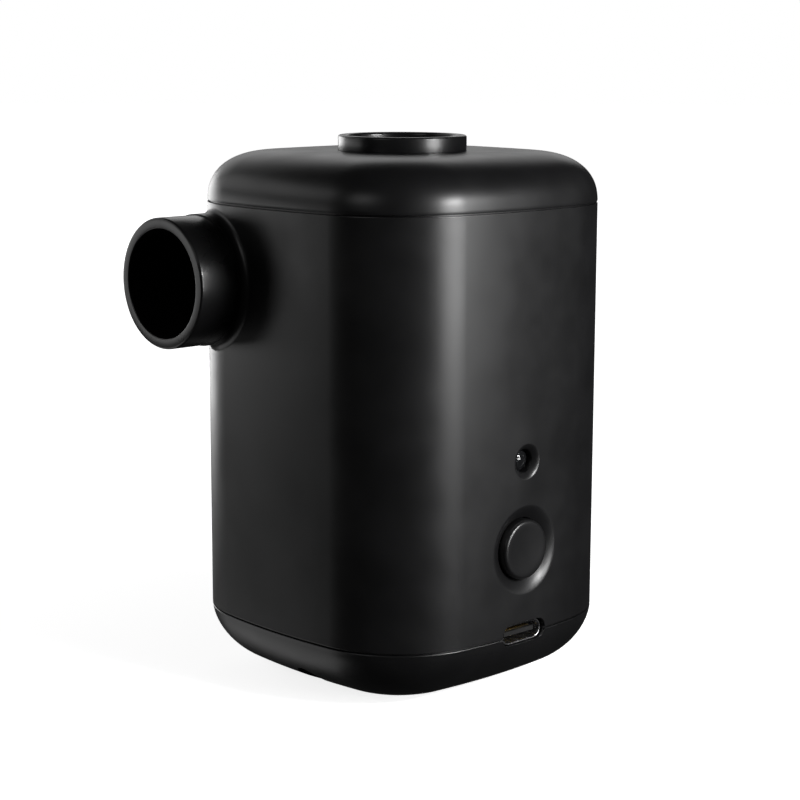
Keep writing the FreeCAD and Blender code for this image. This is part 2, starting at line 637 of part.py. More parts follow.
def make_end_cap():
    inner_r = MOTOR_R - CAN_WALL - 0.03
    cap = join([cyl_z(MOTOR_R - 0.1, END_CAP_LOW, MOTOR_LOW), cyl_z(inner_r, MOTOR_LOW, MOTOR_LOW + 2.0),
                cyl_z(4.2, END_CAP_LOW - 1.2, MOTOR_LOW + 2.0)])
    cuts = [cyl_z(BUSH_R, END_CAP_LOW + 0.2, MOTOR_LOW + 3),
            cyl_z(SHAFT_R + 0.3, END_CAP_LOW - 0.6, MOTOR_LOW)]
    for side in (-1, 1):
        x = side * TERMINAL_X
        cuts.append(box(x - 1.3, x + 1.3, -0.3, 0.3, END_CAP_LOW - 2, MOTOR_LOW + 3))
    return cap.cut(Part.makeCompound(cuts)).removeSplitter()


def make_magnet(side):
    ring = tube_z(MAGNET_R, MAGNET_IN_R, MAGNET_LOW, MAGNET_HIGH)
    far = 30.0
    low = MAGNET_LOW - 1
    middle = 0.0 if side > 0 else 180.0
    corners = [V(0, 0, low)]
    corners += [polar(far, middle + turn, low) for turn in (-MAGNET_HALF_ANGLE, 0, MAGNET_HALF_ANGLE)]
    wedge = Part.Face(Part.makePolygon(corners + corners[:1])).extrude(V(0, 0, MAGNET_HIGH + 1 - low))
    return ring.common(wedge)


def make_shaft():
    shaft = cyl_z(SHAFT_R, SHAFT_LOW, SHAFT_TOP)
    return shaft.makeChamfer(0.2, [e for e in shaft.Edges if circle_at(e, SHAFT_R, Z_AXIS, SHAFT_TOP)])


def make_armature_core():
    """Three-pole stack: pole shoes on narrow webs."""
    shoes = tube_z(CORE_R, CORE_IN_R, CORE_LOW, CORE_TOP)
    slots = []
    solids = [cyl_z(3.4, CORE_LOW, CORE_TOP)]
    step = 360 / POLES
    for i in range(POLES):
        slot = box(0, 12, -1.1, 1.1, CORE_LOW - 1, CORE_TOP + 1)
        slot.rotate(V(0, 0, 0), Z_AXIS, step * i)
        slots.append(slot)
        web = box(2.5, CORE_IN_R + 0.5, -POLE_HALF, POLE_HALF, CORE_LOW, CORE_TOP)
        web.rotate(V(0, 0, 0), Z_AXIS, step * (i + 0.5))
        solids.append(web)
    shoes = shoes.cut(Part.makeCompound(slots))
    return join(solids + [shoes]).cut(cyl_z(SHAFT_R, CORE_LOW - 1, CORE_TOP + 1)).removeSplitter()


def make_windings():
    """One coil round each pole web."""
    coils = []
    outer = POLE_HALF + COIL_GROW
    inner = POLE_HALF + 0.05
    for i in range(POLES):
        coil = box(3.9, 7.0, -outer, outer, CORE_LOW - COIL_GROW, CORE_TOP + COIL_GROW)
        coil = coil.cut(box(3, 8, -inner, inner, CORE_LOW - 0.05, CORE_TOP + 0.05))
        coil.rotate(V(0, 0, 0), Z_AXIS, 360 / POLES * (i + 0.5))
        coils.append(coil.common(cyl_z(CORE_IN_R - 0.1, CORE_LOW - 5, CORE_TOP + 5)))
    return group(coils)


def make_commutator():
    ring = tube_z(COMMUTATOR_R, SHAFT_R, COMMUTATOR_LOW, COMMUTATOR_TOP)
    slits = []
    for i in range(POLES):
        slit = box(1.8, 4, -0.15, 0.15, COMMUTATOR_LOW - 1, COMMUTATOR_TOP + 1)
        slit.rotate(V(0, 0, 0), Z_AXIS, 360 / POLES * i)
        slits.append(slit)
    return ring.cut(Part.makeCompound(slits))


def make_brushes():
    """Spring arms that carry the carbon brushes, either side of the commutator."""
    arms = []
    for side in (-1, 1):
        inner = COMMUTATOR_R + 0.15
        back = inner + 1.6
        block = box(-1.0, 1.0, inner, back, BRUSH_LOW, BRUSH_HIGH)
        arm = box(-1.0, 7.6, back, back + 0.3, BRUSH_LOW + 0.2, BRUSH_HIGH - 0.2)
        foot = box(7.3, 7.6, -0.2, back + 0.3, MOTOR_LOW + 2.0, BRUSH_HIGH - 0.2)
        whole = join([block, arm, foot])
        if side < 0:
            whole.rotate(V(0, 0, 0), Z_AXIS, 180)
        arms.append(whole)
    return group(arms)


def make_terminals():
    tabs = []
    for side in (-1, 1):
        x = side * TERMINAL_X
        tab = box(x - 1.2, x + 1.2, -0.25, 0.25, END_CAP_LOW - TERMINAL_LENGTH, MOTOR_LOW + 1.9)
        tabs.append(tab.cut(cyl_y(0.6, -1, 1, x, END_CAP_LOW - TERMINAL_LENGTH + 1.2)))
    return group(tabs)


def make_motor_damper():
    ring = tube_z(11.0, MOTOR_BOSS_R + 0.2, MOTOR_TOP, VOLUTE_FLOOR_LOW)
    return ring.cut(Part.makeCompound([cyl_z(1.3, 50, 60, s * MOTOR_SCREW_X, 0) for s in (-1, 1)]))


def make_motor_sleeve():
    """Foam wrap, split down its back."""
    wrap = tube_z(MOTOR_R + 0.75, MOTOR_R + 0.02, SLEEVE_LOW, SLEEVE_HIGH)
    return wrap.cut(box(-1.2, 1.2, MOTOR_R - 2, MOTOR_R + 2, SLEEVE_LOW - 1, SLEEVE_HIGH + 1))


def make_motor_screws():
    screws = []
    for side in (-1, 1):
        x = side * MOTOR_SCREW_X
        cone = Part.makeCone(MOTOR_SCREW_R, MOTOR_SCREW_HEAD_R, 1.15, V(x, 0, VOLUTE_FLOOR - 1.2), Z_AXIS)
        shank = cyl_z(MOTOR_SCREW_R, MOTOR_TOP - 2.4, VOLUTE_FLOOR - 1.2, x, 0)
        cross = box(x - 1.2, x + 1.2, -0.25, 0.25, VOLUTE_FLOOR - 0.6, VOLUTE_FLOOR + 1)
        cross = cross.fuse(box(x - 0.25, x + 0.25, -1.2, 1.2, VOLUTE_FLOOR - 0.6, VOLUTE_FLOOR + 1))
        screws.append(cone.fuse(shank).cut(cross))
    return group(screws)


# ---------------------------------------------------------------- cells
def make_cell(side):
    x = side * CELL_XY
    can = cyl_z(CELL_R, CELL_LOW, CELL_TOP - 0.6, x, CELL_XY)
    can = round_edges(can, 0.5, lambda e: isinstance(e.Curve, Part.Circle))
    return can.fuse(cyl_z(2.6, CELL_TOP - 0.7, CELL_TOP, x, CELL_XY))


def make_battery_holder():
    """Two open-fronted cups, rounded underneath, on a shared web."""
    cups = []
    cuts = []
    for side in (-1, 1):
        x = side * CELL_XY
        cup = cyl_z(HOLDER_R, TRAY_POST_TOP, HOLDER_TOP, x, CELL_XY)
        cups.append(round_edges(cup, 0.8, lambda e: circle_at(e, HOLDER_R, Z_AXIS, TRAY_POST_TOP)))
        cuts.append(cyl_z(HOLDER_BORE_R, CELL_LOW - 0.2, HOLDER_TOP + 1, x, CELL_XY))
        mouth = box(-9, 9, -5.4, 5.4, CELL_LOW - 0.2, HOLDER_TOP + 1)
        mouth.translate(V(-9, 0, 0))
        mouth.rotate(V(0, 0, 0), Z_AXIS, 45 if side > 0 else 135)
        mouth.translate(V(x, CELL_XY, 0))
        cuts.append(mouth)
    web = box(-12, 12, 20.2, 21.6, 25.0, HOLDER_TOP)
    window = box(-6, 6, 19, 23, 29.0, HOLDER_TOP - 4)
    return join(cups + [web.cut(window)]).cut(Part.makeCompound(cuts)).removeSplitter()


def make_battery_tabs():
    """Nickel strip across both positive ends and one tab under each cell."""
    solids = [box(-CELL_XY - 2, CELL_XY + 2, CELL_XY - 2, CELL_XY + 2, CELL_TOP, CELL_TOP + TAB_THICK)]
    low = CELL_LOW - TAB_THICK
    for side in (-1, 1):
        x = side * CELL_XY
        tail = box(-9.4, 0, -1.5, 1.5, low, CELL_LOW)
        tail.rotate(V(0, 0, 0), Z_AXIS, 45 if side > 0 else 135)
        tail.translate(V(x, CELL_XY, 0))
        solids.append(cyl_z(4.0, low, CELL_LOW, x, CELL_XY).fuse(tail))
    return group(solids)


# ---------------------------------------------------------------- controls
def make_board():
    board = box(-BOARD_HALF_W, BOARD_HALF_W, BOARD_FRONT_Y, BOARD_BACK_Y, BOARD_LOW, BOARD_HIGH)
    board = round_edges(board, 2.0, lambda e: abs(e.Vertexes[0].Z - e.Vertexes[-1].Z) < 0.01
                        and abs(e.Vertexes[0].X - e.Vertexes[-1].X) < 0.01)
    holes = [cyl_y(1.1, BOARD_FRONT_Y - 1, BOARD_BACK_Y + 1, x, z) for x, z in BOARD_POSTS]
    return board.cut(Part.makeCompound(holes))


def make_board_screws():
    tip_y = BOARD_BACK_Y - BOARD_SCREW_LENGTH
    return group([screw(V(x, tip_y, z), Y_AXIS, BOARD_SCREW_LENGTH, POST_PILOT_R, 1.7, 1.1)
                  for x, z in BOARD_POSTS])


def make_usb_shell():
    outer = slot_y(USB_SHELL_W, USB_SHELL_H, USB_MOUTH_Y, BOARD_FRONT_Y, CONTROLS_X, USB_Z)
    inner_w = USB_SHELL_W - 2 * USB_SHELL_WALL
    inner_h = USB_SHELL_H - 2 * USB_SHELL_WALL
    return outer.cut(slot_y(inner_w, inner_h, USB_MOUTH_Y - 1, BOARD_FRONT_Y + 1, CONTROLS_X, USB_Z))


def make_usb_tongue():
    gap = 0.02
    inner_w = USB_SHELL_W - 2 * (USB_SHELL_WALL + gap)
    inner_h = USB_SHELL_H - 2 * (USB_SHELL_WALL + gap)
    base = slot_y(inner_w, inner_h, USB_BASE_Y, BOARD_FRONT_Y, CONTROLS_X, USB_Z)
    tongue = box(CONTROLS_X - USB_TONGUE_HALF_W, CONTROLS_X + USB_TONGUE_HALF_W, USB_MOUTH_Y + 0.6,
                 BOARD_FRONT_Y, USB_Z - USB_TONGUE_HALF_H, USB_Z + USB_TONGUE_HALF_H)
    return base.fuse(tongue)


def make_usb_contacts():
    """Contact strips on both sides of the tongue."""
    strips = []
    near = USB_TONGUE_HALF_H
    far = near + USB_CONTACT_THICK
    for i in range(USB_CONTACTS):
        x = CONTROLS_X + (i - (USB_CONTACTS - 1) / 2) * USB_CONTACT_PITCH
        for low, high in ((USB_Z + near, USB_Z + far), (USB_Z - far, USB_Z - near)):
            strips.append(box(x - 0.13, x + 0.13, USB_MOUTH_Y + 1.3, USB_BASE_Y, low, high))
    return group(strips)


def make_power_button():
    """Round cap with a shallow dished face and a flange that keeps it behind the wall."""
    cap = cyl_y(BUTTON_R, BUTTON_FACE_Y, BUTTON_FLANGE_FRONT + 0.2, CONTROLS_X, BUTTON_Z)
    cap = round_edges(cap, 0.6, lambda e: circle_at(e, BUTTON_R, Y_AXIS, BUTTON_FACE_Y))
    hollow_y = BUTTON_FACE_Y + 0.12 - BUTTON_HOLLOW_R
    hollow = Part.makeSphere(BUTTON_HOLLOW_R, V(CONTROLS_X, hollow_y, BUTTON_Z))
    flange = cyl_y(BUTTON_FLANGE_R, BUTTON_FLANGE_FRONT, PLUNGER_FRONT_Y, CONTROLS_X, BUTTON_Z)
    return cap.cut(hollow).fuse(flange).removeSplitter()


def make_switch_plunger():
    return cyl_y(PLUNGER_R, PLUNGER_FRONT_Y, SWITCH_FRONT_Y + 0.9, CONTROLS_X, BUTTON_Z)


def make_switch_body():
    low, high = BUTTON_Z - SWITCH_HALF, BUTTON_Z + SWITCH_HALF
    left, right = CONTROLS_X - SWITCH_HALF, CONTROLS_X + SWITCH_HALF
    body = box(left, right, SWITCH_FRONT_Y + 0.3, BOARD_FRONT_Y, low, high)
    return body.cut(cyl_y(PLUNGER_R + 0.3, SWITCH_FRONT_Y - 1, SWITCH_FRONT_Y + 1.7, CONTROLS_X, BUTTON_Z))


def make_switch_frame():
    low, high = BUTTON_Z - SWITCH_HALF, BUTTON_Z + SWITCH_HALF
    left, right = CONTROLS_X - SWITCH_HALF, CONTROLS_X + SWITCH_HALF
    plate = box(left, right, SWITCH_FRONT_Y, SWITCH_FRONT_Y + 0.3, low, high)
    return plate.cut(cyl_y(PLUNGER_R + 0.05, SWITCH_FRONT_Y - 1, SWITCH_FRONT_Y + 1, CONTROLS_X, BUTTON_Z))


def make_switch_pins():
    pins = []
    for side in (-1, 1):
        x0, x1 = sorted((CONTROLS_X + side * SWITCH_HALF, CONTROLS_X + side * (SWITCH_HALF + 1.1)))
        for z in (BUTTON_Z - SWITCH_PIN_Z, BUTTON_Z + SWITCH_PIN_Z):
            pins.append(box(x0, x1, BOARD_FRONT_Y - 0.3, BOARD_FRONT_Y, z - 0.35, z + 0.35))
    return group(pins)


def make_light_pipe():
    """Clear rod with a domed nose that carries the lamp's light to the dimple."""
    centre_y = LAMP_LENS_Y + math.sqrt(LAMP_NOSE_R ** 2 - LAMP_LENS_R ** 2)
    nose = Part.makeSphere(LAMP_NOSE_R, V(CONTROLS_X, centre_y, LAMP_Z))
    nose = nose.common(cyl_y(LAMP_LENS_R, LAMP_LENS_Y - 3, LAMP_LENS_Y, CONTROLS_X, LAMP_Z))
    rod = cyl_y(LAMP_LENS_R, LAMP_LENS_Y, LED_FRONT_Y - 0.3, CONTROLS_X, LAMP_Z)
    collar = cyl_y(LAMP_COLLAR_R, LAMP_SLEEVE_BACK, LAMP_SLEEVE_BACK + 1.0, CONTROLS_X, LAMP_Z)
    return join([rod, nose, collar])


def make_status_led():
    body = box(CONTROLS_X - 1.4, CONTROLS_X + 1.4, LED_FRONT_Y, BOARD_FRONT_Y,
               LAMP_Z - 1.75, LAMP_Z + 1.75)
    return body.cut(Part.makeCone(1.2, 0.7, 0.5, V(CONTROLS_X, LED_FRONT_Y - 0.001, LAMP_Z), Y_AXIS))


def make_inductor():
    x, z = INDUCTOR_XZ
    half = INDUCTOR_HALF
    body = box(x - half, x + half, BOARD_BACK_Y, BOARD_BACK_Y + 2.9, z - half, z + half)
    return round_edges(body, 1.0, lambda e: abs(e.Vertexes[0].Y - e.Vertexes[-1].Y) > 1)


def chip(x, z):
    """Chip with gull-wing pins along its upper and lower edges."""
    back = BOARD_BACK_Y
    solids = [box(x - CHIP_HALF_W, x + CHIP_HALF_W, back + 0.1, back + 0.1 + CHIP_THICK,
                  z - CHIP_HALF_H, z + CHIP_HALF_H)]
    for i in range(CHIP_PINS):
        px = x + (i - (CHIP_PINS - 1) / 2) * CHIP_PITCH
        for end in (-1, 1):
            z0, z1 = sorted((z + end * (CHIP_HALF_H - 0.05), z + end * (CHIP_HALF_H + 1.0)))
            solids.append(box(px - 0.2, px + 0.2, back, back + 0.3, z0, z1))
    return join(solids)


def make_capacitors():
    solids = []
    for x, z in CAPACITORS_XZ:
        solids.append(box(x - 1.6, x + 1.6, BOARD_BACK_Y, BOARD_BACK_Y + 1.3, z - 0.8, z + 0.8))
    return group(solids)


def make_battery_connector():
    x, z = CONNECTOR_XZ
    half = CONNECTOR_HALF
    inner = half - 0.8
    body = box(x - half, x + half, BOARD_BACK_Y, BOARD_BACK_Y + 3.2, z - half, z + half)
    return body.cut(box(x - inner, x + inner, BOARD_BACK_Y + 0.8, BOARD_BACK_Y + 5, z - inner, z + inner))


def make_motor_lead(side):
    x = side * TERMINAL_X
    top = END_CAP_LOW - TERMINAL_LENGTH
    return lead([V(x, 0, top), V(x, 0, 13.2), V(x, -3.6, 8.6), V(x, -9.0, 7.6),
                 V(x, BOARD_BACK_Y, 7.6)], LEAD_R)


def make_battery_lead_red():
    top = CELL_TOP + 0.2 + LEAD_R
    return lead([V(-15.2, 13.2, top), V(-19.9, 4.0, top), V(-20.3, -5.5, 48.0), V(-15.8, -11.0, 42.0),
                 V(-10.2, -11.8, 38.2), V(-10.2, -17.0, 38.2)], LEAD_R)


def make_battery_lead_black():
    return lead([V(-8.1, 8.1, CELL_LOW + LEAD_R), V(-11.0, 1.5, 9.2), V(-17.2, -6.5, 17.0),
                 V(-16.4, -11.5, 28.0), V(-10.2, -11.9, 35.6), V(-10.2, -17.0, 35.6)], LEAD_R)


def make_case_screws():
    length = CASE_SCREW_TIP - CASE_HEAD_SEAT
    return group([screw(V(x, y, CASE_SCREW_TIP), Z_AXIS * -1, length, CASE_PILOT_R, 2.1, 1.4)
                  for x, y in CASE_SCREWS])


PIECES = {
    "body_shell": make_body_shell,
    "top_cover": make_top_cover,
    "bottom_cover": make_bottom_cover,
    "foot_pad": make_foot_pad,
    "inlet_collar": make_inlet_collar,
    "inlet_guard": make_inlet_guard,
    "inlet_gasket": make_inlet_gasket,
    "outlet_nozzle": make_outlet_nozzle,
    "outlet_seal": make_outlet_seal,
    "volute_casing": make_volute_casing,
    "volute_cover": make_volute_cover,
    "volute_screws": make_volute_screws,
    "impeller": make_impeller,
    "motor_shaft": make_shaft,
    "motor_can": make_motor_can,
    "motor_end_cap": make_end_cap,
    "motor_front_bush": make_front_bush,
    "motor_rear_bush": make_rear_bush,
    "magnet_left": lambda: make_magnet(-1),
    "magnet_right": lambda: make_magnet(1),
    "armature_core": make_armature_core,
    "armature_windings": make_windings,
    "commutator": make_commutator,
    "motor_brushes": make_brushes,
    "motor_terminals": make_terminals,
    "motor_damper": make_motor_damper,
    "motor_sleeve": make_motor_sleeve,
    "motor_screws": make_motor_screws,
    "battery_holder": make_battery_holder,
    "battery_cell_left": lambda: make_cell(-1),
    "battery_cell_right": lambda: make_cell(1),
    "battery_tabs": make_battery_tabs,
    "circuit_board": make_board,
    "board_screws": make_board_screws,
    "usb_c_shell": make_usb_shell,
    "usb_c_tongue": make_usb_tongue,
    "usb_c_contacts": make_usb_contacts,
    "power_button": make_power_button,
    "switch_plunger": make_switch_plunger,
    "switch_body": make_switch_body,
    "switch_frame": make_switch_frame,
    "switch_pins": make_switch_pins,
    "light_pipe": make_light_pipe,
    "status_led": make_status_led,
    "power_inductor": make_inductor,
    "controller_chip": lambda: chip(*CONTROLLER_XZ),
    "charge_chip": lambda: chip(*CHARGER_XZ),
    "board_capacitors": make_capacitors,
    "battery_connector": make_battery_connector,
    "motor_lead_red": lambda: make_motor_lead(-1),
    "motor_lead_black": lambda: make_motor_lead(1),
    "battery_lead_red": make_battery_lead_red,
    "battery_lead_black": make_battery_lead_black,
    "case_screws": make_case_screws,
}

os.makedirs("parts", exist_ok=True)
for name, make in PIECES.items():
    shape = make()
    shape.exportStep(f"parts/{name}.step")
    ext = shape.BoundBox
    print(f"{name}: solids {len(shape.Solids)} valid {shape.isValid()} volume {shape.Volume:.1f} "
          f"x {ext.XMin:.2f}..{ext.XMax:.2f} y {ext.YMin:.2f}..{ext.YMax:.2f} "
          f"z {ext.ZMin:.2f}..{ext.ZMax:.2f}")
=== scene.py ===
import json
import math

import bmesh
import bpy
from mathutils import Matrix, Vector

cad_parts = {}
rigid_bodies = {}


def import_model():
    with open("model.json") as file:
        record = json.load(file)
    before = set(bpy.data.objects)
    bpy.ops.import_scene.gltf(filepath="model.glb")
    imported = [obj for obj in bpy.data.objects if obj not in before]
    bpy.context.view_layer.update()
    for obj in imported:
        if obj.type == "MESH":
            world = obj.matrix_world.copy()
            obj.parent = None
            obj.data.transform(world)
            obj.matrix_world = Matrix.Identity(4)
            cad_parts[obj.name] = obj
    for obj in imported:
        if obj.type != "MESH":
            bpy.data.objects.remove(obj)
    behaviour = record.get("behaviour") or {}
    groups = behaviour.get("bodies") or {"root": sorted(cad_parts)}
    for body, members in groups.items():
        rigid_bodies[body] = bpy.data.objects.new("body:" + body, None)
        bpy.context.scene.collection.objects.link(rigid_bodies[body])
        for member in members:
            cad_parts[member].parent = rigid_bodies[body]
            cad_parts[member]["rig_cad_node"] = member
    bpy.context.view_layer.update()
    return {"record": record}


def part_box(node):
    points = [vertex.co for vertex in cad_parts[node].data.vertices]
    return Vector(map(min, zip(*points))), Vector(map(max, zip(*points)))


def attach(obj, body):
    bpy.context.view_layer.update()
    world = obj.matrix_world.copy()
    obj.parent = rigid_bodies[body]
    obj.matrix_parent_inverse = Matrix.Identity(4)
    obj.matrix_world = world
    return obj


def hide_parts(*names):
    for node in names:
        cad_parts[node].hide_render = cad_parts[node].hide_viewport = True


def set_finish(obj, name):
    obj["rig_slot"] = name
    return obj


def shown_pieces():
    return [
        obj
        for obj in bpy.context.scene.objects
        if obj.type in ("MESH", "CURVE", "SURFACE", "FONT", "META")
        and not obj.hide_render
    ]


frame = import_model()

# Lengths below are in millimetres in the CAD frame; mesh() turns them into metres.
MM = 0.001
SLOT_OF = {row["node"]: row["material_slot"] for row in frame["record"]["subparts"]}


def box_mm(node):
    """Lowest and highest corner of a CAD node, in millimetres."""
    low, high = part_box(node)
    return low / MM, high / MM


# ---------------------------------------------------------------- sizes taken from the frame
SHELL_LOW, SHELL_HIGH = box_mm("body_shell")
SEAM_LOW = SHELL_LOW.z
SEAM_HIGH = SHELL_HIGH.z
BODY_HALF = SHELL_HIGH.x
DOME_TOP = box_mm("top_cover")[1].z
FLOOR_Z = box_mm("bottom_cover")[0].z
NOZZLE_LOW, NOZZLE_HIGH = box_mm("outlet_nozzle")
NOZZLE_END_X = NOZZLE_LOW.x
NOZZLE_TAIL_X = NOZZLE_HIGH.x
NOZZLE_Y = (NOZZLE_LOW.y + NOZZLE_HIGH.y) / 2
NOZZLE_Z = (NOZZLE_LOW.z + NOZZLE_HIGH.z) / 2
PORT_R = (NOZZLE_HIGH.z - NOZZLE_LOW.z) / 2
NECK_FRONT_X = SHELL_LOW.x
COLLAR_LOW = box_mm("inlet_collar")[0].z
COLLAR_TOP = box_mm("inlet_collar")[1].z
COLLAR_FLANGE_R = box_mm("inlet_collar")[1].x
BUTTON_LOW, BUTTON_HIGH = box_mm("power_button")
BUTTON_FLANGE_R = (BUTTON_HIGH.z - BUTTON_LOW.z) / 2
BUTTON_Z = (BUTTON_LOW.z + BUTTON_HIGH.z) / 2
CONTROLS_X = (BUTTON_LOW.x + BUTTON_HIGH.x) / 2
LAMP_LOW, LAMP_HIGH = box_mm("light_pipe")
LAMP_Z = (LAMP_LOW.z + LAMP_HIGH.z) / 2
USB_LOW, USB_HIGH = box_mm("usb_c_shell")
USB_Z = (USB_LOW.z + USB_HIGH.z) / 2
PAD_LOW, PAD_HIGH = box_mm("foot_pad")

# ---------------------------------------------------------------- sizes the frame's boxes don't give
CORNER_R = 16.9           # plan: rounded corners between slightly convex sides
SIDE_R = 110.0
WALL = 1.8
EDGE = 0.12               # rounding of the rims
RIM = EDGE * (1 - math.sqrt(0.5))
REVEAL = 0.25             # shadow gap at a seam: its height, then its depth
REVEAL_DEPTH = 0.5
LIP = (1.9, 2.9)          # insets of a cover's lip, outside and inside
TOP_LIP_DEPTH = 1.2       # how far a cover's lip reaches past the seam
BASE_LIP_DEPTH = 1.6
LIP_ROOT = 1.0            # distance from the seam at which the lip meets the inside of the crown
DOME_REACH = 11.3         # crowns: how far each comes in from the sides, and its superellipse power
DOME_POWER = 2.35
BASE_REACH = 10.5
BASE_POWER = 1.75
INNER_REACH_CUT = 1.0     # the inside of a crown comes in by this much less
DOME_FLAT_RINGS = (13.4, 11.4)
DOME_CEILING_R = 12.6
BASE_FLAT_R = 14.4
BASE_RING_R = 8.0
BASE_MIDDLE_R = 1.0       # small hole that the circular rings leave; a plug closes it
BASE_PLUG_R = 1.2
STEM_R = 9.95
GAP = 0.05
PAD_GAP = 0.1
NOZZLE_BORE_R = 8.72
NOZZLE_SOCKET_X = -22.6
SPIGOT_R = 9.4
SPIGOT_GAP = 0.25
STEM_WAY_END_X = -15.5    # the way through the shell narrows here and ends further in
SPIGOT_WAY_END_X = 3.0
NECK_R = 10.6
NECK_BLEND = 1.2          # hollow fillet between the neck and the body
NECK_SINK = 0.02          # how far the fillet's end goes under the body's surface
NECK_TIP = 8.0            # the neck's solid runs to a point this far behind its front
COLLAR_BORE_R = 8.93
COLLAR_FLANGE = 1.5
GUARD_TOP = 81.4
GUARD_SEAT_R = 9.4
BUTTON_R = 4.82
BUTTON_HOLE_R = 5.02
BUTTON_EDGE = 0.6
BUTTON_HOLLOW = 0.12      # depth of the hollow in the button's face
BUTTON_HOLLOW_R = 3.8
BUTTON_RING_R = 7.8
BUTTON_RING_BACK = -24.95
BUTTON_FLANGE_FRONT = -24.75
DISH_R = 7.2
DISH_DEPTH = 1.3
LAMP_HOLE_R = 1.9
LAMP_DIMPLE_R = 2.9
LAMP_DIMPLE_DEPTH = 0.8
LAMP_SLEEVE_R = 3.3
LAMP_SLEEVE_BACK = -24.6
LENS_R = 1.85
LENS_RIM_Y = -26.0        # where the lens turns from its dome into the rod
LENS_FLANGE = 1.0
RECESS_MARGIN = 0.35      # flat ring of the mesh outside a dish
RING_EDGE = 0.1           # chamfer of the rings behind the wall and of the pad's recess
USB_CUT_W = 9.7
USB_CUT_H = 3.45
USB_CUT_DEPTH = 3.2
USB_CHAMFER_DEPTH = 0.22
USB_FLARE = 0.9           # the cutting tool grows by this much on its way out of the face
USB_FLARE_OUT = 0.8
USB_SHELL_WALL = 0.3
PAD_GROOVES = (4.0, 7.0, 10.0)
GROOVE_DEPTH = 0.2
GROOVE_HALF = 0.5         # half width of a groove at the face, then at its floor
GROOVE_FLOOR_HALF = 0.35
CASE_SCREWS = ((-22.4, -3.0), (22.4, -3.0), (0.0, 22.4))
CASE_BOSS_R = 3.0
CASE_COUNTERBORE_R = 2.4
CASE_HEAD_SEAT = 6.4
CASE_CLEARANCE_R = 1.25

# ---------------------------------------------------------------- mesh settings
PATCH_STEP = 0.7          # grid spacing round the button and the lamp
DISH_CELLS = 12           # half width of the button's patch, in grid steps
LAMP_CELLS = 6
CORNER_STEPS = 24
SIDE_STEPS = 10
FINE_ROWS = 26            # rows above the lamp's patch, up to the upper seam
PAST = 2.0                # turned and trimming tools run this far past a face
HARD_EDGE = math.radians(34)
MERGE = 1e-7              # metres
ON_PLAN = 0.02            # most that an upright face may lean, and a corner may lie off the plan
SAME_WAY = 0.97           # least agreement of a face's normal with the plan's


# ---------------------------------------------------------------- mesh helpers
def mesh(name, verts, faces, body=None, node=None):
    """New object from millimetre points. With a body and a node it stands for that CAD node."""
    data = bpy.data.meshes.new(name)
    data.from_pydata([Vector(v) * MM for v in verts], [], faces)
    obj = bpy.data.objects.new(name, data)
    bpy.context.scene.collection.objects.link(obj)
    tidy(obj)
    if body:
        stand_for(obj, body, node)
    return obj


def stand_for(obj, body, node):
    """Ties a piece to its body, to the CAD node that it replaces and to that node's material."""
    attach(obj, body)
    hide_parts(node)
    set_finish(obj, SLOT_OF[node])


def tidy(obj):
    """Consistent outward normals, smooth faces and hard edges only where the surface really turns."""
    bm = bmesh.new()
    bm.from_mesh(obj.data)
    bmesh.ops.remove_doubles(bm, verts=bm.verts, dist=MERGE)
    bmesh.ops.dissolve_degenerate(bm, edges=bm.edges, dist=MERGE)
    bmesh.ops.recalc_face_normals(bm, faces=bm.faces)
    for face in bm.faces:
        face.smooth = True
    for edge in bm.edges:
        edge.smooth = len(edge.link_faces) == 2 and edge.calc_face_angle(0.0) < HARD_EDGE
    bm.to_mesh(obj.data)
    bm.free()


def carve(obj, tool, operation):
    """Boolean of obj with a tool object, applied; the tool is removed."""
    modifier = obj.modifiers.new("carve", "BOOLEAN")
    modifier.operation = operation
    modifier.object = tool
    modifier.solver = "EXACT"
    graph = bpy.context.evaluated_depsgraph_get()
    made = bpy.data.meshes.new_from_object(obj.evaluated_get(graph))
    obj.modifiers.clear()
    obj.data = made
    bpy.data.objects.remove(tool)
    tidy(obj)


def soften(corners, steps=4):
    """Closed outline through corners (a, b, radius), each rounded by its radius."""
    outline = []
    count = len(corners)
    for i, (a, b, radius) in enumerate(corners):
        here = Vector((a, b))
        if radius <= 0:
            outline.append(here)
            continue
        before = (Vector(corners[i - 1][:2]) - here).normalized()
        after = (Vector(corners[(i + 1) % count][:2]) - here).normalized()
        half = before.angle(after) / 2
        centre = here + (before + after).normalized() * radius / math.sin(half)
        start = here + before * radius / math.tan(half) - centre
        end = here + after * radius / math.tan(half) - centre
        sweep = start.angle(end)
        turn = 1 if start.x * end.y - start.y * end.x > 0 else -1
        for k in range(steps + 1):
            part = turn * sweep * k / steps
            c, s = math.cos(part), math.sin(part)
            outline.append(centre + Vector((start.x * c - start.y * s, start.x * s + start.y * c)))
    return [(p.x, p.y) for p in outline]


def bands(rings, closed):
    """Quads between successive rings of equal length; closed joins the last ring to the first."""
    count = len(rings[0])
    verts = [p for ring in rings for p in ring]
    faces = []
    pairs = len(rings) if closed else len(rings) - 1
    for j in range(pairs):
        k = (j + 1) % len(rings)
        for i in range(count):
            n = (i + 1) % count
            faces.append((j * count + i, j * count + n, k * count + n, k * count + i))
    return verts, faces


def lathe(name, outline, centre, axis, body=None, node=None, segments=144):
    """Turned piece. The outline is closed, as (distance along the axis, radius) points."""
    along = Vector(axis)
    side = along.orthogonal().normalized()
    other = along.cross(side)
    rings = []
    for distance, radius in outline:
        ring = []
        for i in range(segments):
            a = 2 * math.pi * i / segments
            radial = side * math.cos(a) + other * math.sin(a)
            ring.append(Vector(centre) + along * distance + radial * radius)
        rings.append(ring)
    solid = min(radius for _, radius in outline) <= 0
    verts, faces = bands(rings, not solid)
    return mesh(name, verts, faces, body, node)


